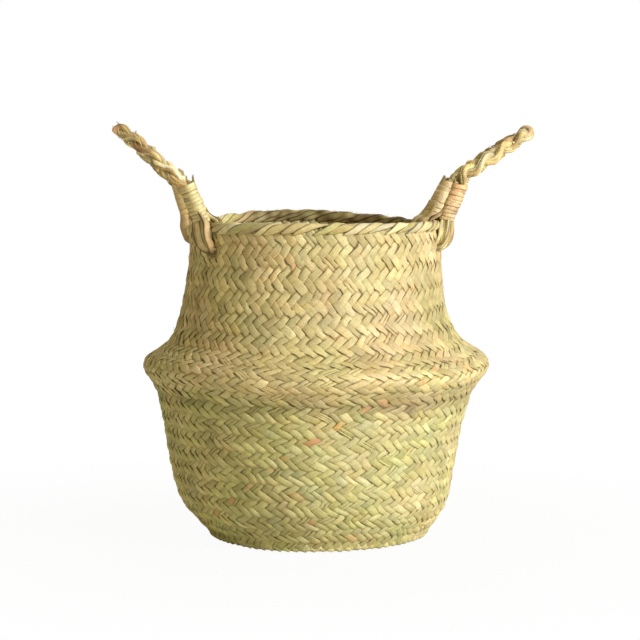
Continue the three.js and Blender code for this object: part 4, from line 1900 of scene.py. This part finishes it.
@dataclass(frozen=True)
class Whipping:
    """The whipping on one leg and the cut tail ends that stand out of it."""

    frame: HandleFrame
    size: WhippingSize
    rng: Random

    def build(self, end: End, material: Material) -> Object:
        """Build the whipping of one leg.

        The strip winds down from the top, by its pitch a turn, round an outline between a circle and a
        square: the sum of a direction's parts, each to the power of the squareness, to minus one over it.

        Args:
            end: Which leg.
            material: Its material.

        Returns:
            The whipping.
        """
        size, rng, place = self.size, self.rng, self.frame
        (low, high), warmth = place.size.leg(end).wrap, place.size.leg(end).warmth
        pitch = size.front_pitch if end is End.FRONT else size.back_pitch
        turns = (high - low) / pitch
        turn = np.linspace(0, turns, int(turns * size.steps_per_turn))
        angle = 2 * math.pi * turn
        share = turn / turns
        level = high - pitch * (turn + 0.11 * wander(rng, 1, turn, (1.7, 3.1, 0.8))[0])
        bands = 1.0 if end is End.FRONT else 0.3
        loose = 0.16 * bands * wander(rng, 1, turn, (0.45, 0.9, 2.3))[0] + 0.15 * smoothstep(0.92, 1, share)
        across, under = leaf_ring(0.5, 0.9)
        lip = bands * (0.16 * across + 0.2 * (1 - across**2)) - size.thickness * under
        direction = np.stack([np.cos(angle), np.sin(angle)], -1)
        squarish = (np.abs(direction) ** size.squareness).sum(-1) ** (-1 / size.squareness)
        deep, wide = (np.interp(share, size.shares, half) for half in (size.half_deep, size.half_wide))
        reach = np.stack([(half + loose) * squarish for half in (deep, wide)])[..., None] + lip
        lower = level[:, None] - size.overlap * pitch * across
        up, toward = place.leg_axes(end)
        middle = np.array([place.bound_point(end, item, place.size.tail_spacing / 2) for item in level])
        points = middle[:, None, :] + (lower - level[:, None])[..., None] * up
        points = points + (reach[0] * direction[:, :1])[..., None] * toward
        points = points + (reach[1] * direction[:, 1:])[..., None] * SIDEWAYS
        pale = PALETTES[Zone.BAND].pick(rng, (1,))[0]
        mix = (warmth * (1.25 - 0.7 * share))[:, None]
        tint = pale * (1 - mix) + to_linear(size.orange) * mix
        stain = 1 - 0.38 * smoothstep(0.75, 1.35, wander(rng, 1, turn, (0.7, 1.3, 5.1))[0])
        tint = tint * (stain * (1 + 0.09 * wander(rng, 1, turn, (0.8, 2.1))[0]))[:, None]
        # Painted shade in the gaps between the strip's turns, kept as slit strength; faint on the back legs
        # and on orange ones.
        dark = smoothstep(-0.9, 0.9, wander(rng, 1, turn, (0.6, 1.9))[0])
        dark = (1.4 * bands - 0.4) * (1 - 0.6 * max(warmth, 0)) * dark
        tint = np.concatenate([np.clip(tint, 0, 0.95), 0.8 * dark[:, None]], -1)
        tubes = Tubes(place.to_world(points, end)[None], tint[:, None, :], (turn * 33)[:, None], across)
        return tubes.build(f"{place.size.name}_{end.name.lower()}_whipping_strip", material)

    def tail_ends(self, end: End, material: Material) -> Object:
        """Build the cut leaf ends that stand out of the top of the whipping.

        Each runs straight up from inside the whipping, and bends out and aside by the square of its share
        of its length. Its end is cut slantwise, by the cosine of the angle round it.

        Args:
            end: Which leg.
            material: Their material.

        Returns:
            The ends.
        """
        rng, place, count = self.rng, self.frame, self.size.tail_count
        share = np.linspace(0, 1, 6)[:, None]
        half = rng.uniform(0.6, 1.8, (count, 1, 1)) + (0.8 if end is End.BACK else 0.0)
        base = place.size.leg(end).wrap[1] - 4
        length = rng.uniform(4.2, 8.4, (count, 1, 1))
        if end is End.BACK:
            length = place.size.stub + 0.25 * (length - 6.3)
        aside = rng.uniform(-3.4, 3.4, (count, 1, 1))
        depth = place.size.tail_spacing + rng.uniform(-2.2, 2.0, (count, 1, 1))
        round_ = np.linspace(0, 2 * math.pi, 8, endpoint=False)
        cut = 1 + 0.22 * np.cos(round_) * rng.uniform(-1, 1, (count, 1, 1))
        along = base + length * share * cut
        flare = share**2 * rng.uniform(-0.4, 1.1, (count, 1, 1))
        drift = share**2 * rng.uniform(-1.1, 1.1, (count, 1, 1))
        wide = aside + drift + half * np.cos(round_)
        deep = depth + flare + 0.35 * np.sin(round_) * (0.6 + half / 2)
        up, toward = place.leg_axes(end)
        points = place.bound_point(end, base) - base * up + along[..., None] * up + deep[..., None] * toward
        points = points + wide[..., None] * SIDEWAYS
        tint = PALETTES[Zone.BAND].each(rng, count, 0.72, 0.14)
        lanes = strip_lanes(count)
        tubes = Tubes(place.to_world(points, end), plain(np.clip(tint, 0, 0.95)), along * 1.5 + 3 * lanes,
                      np.cos(round_) + lanes)
        return tubes.build(f"{place.size.name}_{end.name.lower()}_tail_ends", material)


# Loose fibres


@dataclass(frozen=True)
class StraySize:
    """Loose fibres that stand off the weave, in millimetres."""

    count: int = 220
    rim_count: int = 240
    length: float = 6.5
    rim_length: float = 3.6
    thickness: float = 0.17
    steps: int = 7


@dataclass(frozen=True)
class Strays:
    """Loose fibres and split ends on the wall, more of them near the rim."""

    wall: Wall
    size: StraySize
    rng: Random

    def rim_lines(self, share: Array) -> Array:
        """Lay out short fibres on top of the rim, most of them at the back.

        Each goes round, in or out, and up, by random shares of its length.

        Args:
            share: Places along a fibre from 0 to 1.

        Returns:
            Lines in millimetres.
        """
        size, rng = self.size, self.rng
        shape = (size.rim_count, 1)
        back = rng.random(shape) < 0.75
        angle = rng.uniform(0, math.pi, shape) * np.where(back, 1, -1)
        length = size.rim_length * rng.uniform(0.4, 1.2, shape)
        angle = angle + share * length / 72 * rng.uniform(-1, 1, shape)
        radius = rng.uniform(70.6, 74.6, shape) + share * length * rng.uniform(-0.5, 0.5, shape)
        level = 187.6 + share * length * rng.uniform(0.05, 0.55, shape)
        return by_hand(around(radius, angle, level))

    def build(self, material: Material) -> Object:
        """Build the fibres.

        A fibre starts on the skin and lifts off it by its share of its length to the power 1.6.

        Args:
            material: Their material.

        Returns:
            The fibres.
        """
        size, rng, count = self.size, self.rng, self.size.count
        share = np.linspace(0, 1, size.steps)
        row = 4 + (self.wall.last_row - 5) * rng.uniform(0, 1, (count, 1)) ** 0.7
        angle = rng.uniform(0, 2 * math.pi, (count, 1))
        way = rng.choice([-1, 1], (count, 1)) * rng.uniform(0.6, 1.0, (count, 1))
        length = size.length * rng.uniform(0.4, 1.2, (count, 1))
        rows = row + share * length / 3.2 * rng.uniform(-0.9, 0.9, (count, 1))
        angles = angle + way * share * length / 80
        lift = 0.7 + share**1.6 * length * rng.uniform(0.03, 0.3, (count, 1))
        line = np.concatenate([self.wall.place(rows, angles, lift), self.rim_lines(share)])
        tangent = unit(np.gradient(line, axis=1))
        side = unit(np.cross(tangent, [0.0, 0.0, 1.0]))
        half = size.thickness * (1 - 0.75 * share)
        points = fibres(line, side, np.cross(side, tangent), half, half / 2)
        tint = PALETTES[Zone.NECK].pick(rng, (len(line), 1))[:, :, None, :]
        tubes = Tubes(points, plain(tint), share[:, None] * 5, 0.4 * DIAMOND[:, 0])
        return tubes.build("stray_fibres", material)


# Camera, light and floor


@dataclass(frozen=True)
class Lamp:
    """A soft square light: place and side in metres, power in watts."""

    name: str
    place: Triple
    side: float
    power: float
    colour: Triple


@dataclass(frozen=True)
class StudioSize:
    """Camera and lights, in metres and degrees, with the lens and the film's width in millimetres."""

    azimuth: float = -8.0
    distance: float = 1.6
    height: float = 0.277
    pitch: float = 5.33
    side_shift: float = 0.00265
    lens: float = 153.9
    film: float = 36.0
    floor_edge: float = 6.0
    aim: Triple = (0, 0, 0.11)
    ambient: Colour = (1, 0.87, 0.5, 1)
    ambient_strength: float = 0.31
    lamps: tuple[Lamp, ...] = (
        Lamp("key_light", (1.43, -1.58, 1.0), 1.1, 58.5, (0.94, 0.945, 1)),
        Lamp("fill_light", (-1.6, -1.7, 0.8), 1.6, 1.6, (1, 0.95, 0.85)),
        Lamp("back_light", (0.4, 1.6, 1.6), 1.2, 12, (1, 0.98, 0.94)),
    )


@dataclass(frozen=True)
class Studio:
    """Pale floor, soft light and the photo's camera."""

    size: StudioSize

    def floor(self) -> Object:
        """Lay the floor.

        Returns:
            The floor.
        """
        mesh = bpy.data.meshes.new("studio_floor")
        edge = self.size.floor_edge
        corners = [(-edge, -edge, 0), (edge, -edge, 0), (edge, edge, 0), (-edge, edge, 0)]
        mesh.from_pydata(corners, [], [(0, 1, 2, 3)])
        mesh.materials.append(FloorFinish().make())
        made = placed("studio_floor", mesh)
        return made

    def hang(self, lamp: Lamp) -> None:
        """Hang a light that faces the basket.

        Args:
            lamp: The light.
        """
        data = bpy.data.lights.new(lamp.name, "AREA")
        data.energy, data.size, data.color = lamp.power, lamp.side, lamp.colour
        made = placed(lamp.name, data)
        made.location = lamp.place
        made.rotation_mode = "QUATERNION"
        made.rotation_quaternion = (Vector(self.size.aim) - made.location).to_track_quat("-Z", "Y")

    def world(self) -> None:
        """White backdrop to the camera and a dimmer even light to the basket."""
        world = bpy.data.worlds.new("studio_world")
        graph = Graph(world)
        path = graph.node("ShaderNodeLightPath", {}, "Is Camera Ray")
        seen = graph.node("ShaderNodeBackground", {"Color": (1, 1, 1, 1)})
        ambient = {"Color": self.size.ambient, "Strength": self.size.ambient_strength}
        cast = graph.node("ShaderNodeBackground", ambient)
        graph.close(graph.node("ShaderNodeMixShader", {0: path, 1: cast, 2: seen}))
        bpy.context.scene.world = world

    def camera(self) -> None:
        """Stand the camera where the photo was taken."""
        size = self.size
        turn = math.radians(size.azimuth)
        data = bpy.data.cameras.new("photo_camera")
        data.lens, data.sensor_width = size.lens, size.film
        made = placed("photo_camera", data)
        back = Vector((math.sin(turn), -math.cos(turn), 0))
        right = Vector((math.cos(turn), math.sin(turn), 0))
        made.location = back * size.distance + Vector((0, 0, size.height))
        drop = size.distance * math.tan(math.radians(size.pitch))
        target = right * size.side_shift + Vector((0, 0, size.height - drop))
        made.rotation_mode = "QUATERNION"
        made.rotation_quaternion = (target - made.location).to_track_quat("-Z", "Y")
        bpy.context.scene.camera = made

    def build(self) -> None:
        """Set the whole studio."""
        self.floor()
        self.world()
        for lamp in self.size.lamps:
            self.hang(lamp)
        self.camera()
        bpy.context.scene.view_settings.view_transform = "Standard"


def report(piece: Object) -> None:
    """Log a finished piece with its number of faces."""
    log.info("%s: %d faces", piece.name, len(piece.data.polygons))


def main() -> None:
    """Build every piece, tie all but the ropes and their frays to the basket's body, and set the studio."""
    logging.basicConfig(level=logging.INFO, format="%(message)s")
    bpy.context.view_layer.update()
    rng = np.random.default_rng(SEED)
    woven = LeafFinish("woven_leaf", fibre_contrast=0.37).make()
    rim_leaf = LeafFinish("rim_leaf", fibre_contrast=0.5, bump=0.0002).make()
    rope_leaf = LeafFinish("rope_leaf", fibre_contrast=0.3, bump=0.00016).make()
    band_leaf = LeafFinish("band_leaf", fibre_contrast=0.2, roughness=0.45, bump=0.00006).make()
    wall = Wall(WallSize())
    strip = StripSize()

    places = {size.name: HandleFrame(size) for size in HANDLES}
    holes = np.array([place.hole(end) for place in places.values() for end in End])

    skin = Weave(wall, strip, Wear(), holes, rng).build(woven)
    skin.append(BaseMat(wall, MatSize(), strip, rng).build(woven))
    skin.append(ShadeCore(wall, ShadeCoreSize()).build(ShadeCoreFinish().make()))
    skin.append(Strays(wall, StraySize(), rng).build(woven))
    for piece in skin:
        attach(piece, "basket")
        report(piece)
    walls = [name for name in frame["nodes"] if name.startswith("woven_")]
    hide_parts(*walls)

    border = Border(BorderSize(), StripSize(thickness=0.45), rng).build(rim_leaf)
    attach(border, "basket")
    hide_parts("rim_border")
    report(border)

    for name, place in places.items():
        plait = Rope(place, RopeSize(), rng)
        rope = plait.build(rope_leaf)
        frays = Frays(plait, FraySize(), rng).build(rope_leaf)
        nodes = [f"{name}_plait_strand_{k}" for k in (1, 2, 3)]
        nodes += [f"{name}_{end.name.lower()}_rope_eye" for end in End]
        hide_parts(*nodes)
        leg = sum(place.to_world(place.leg_axes(end)[0], end, vector=True) for end in End)
        away = unit(place.away + unit(leg)) * MM
        hinge = place.hinge * MM
        for piece in (rope, frays):
            tuple(hinge - 5 * away)
            tuple(hinge + 9 * away)
            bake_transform(piece)
            report(piece)
        roots = RootLeaves(place, RootLeafSize(), rng).build(rope_leaf)
        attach(roots, "basket")
        report(roots)
        for end in End:
            wound = Whipping(place, WhippingSize(), rng)
            band = wound.build(end, band_leaf)
            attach(band, "basket")
            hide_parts(band.name.removesuffix("_strip"))
            report(band)
            cut = wound.tail_ends(end, rope_leaf)
            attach(cut, "basket")
            report(cut)

    Studio(StudioSize()).build()


if __name__ == "__main__":
    main()
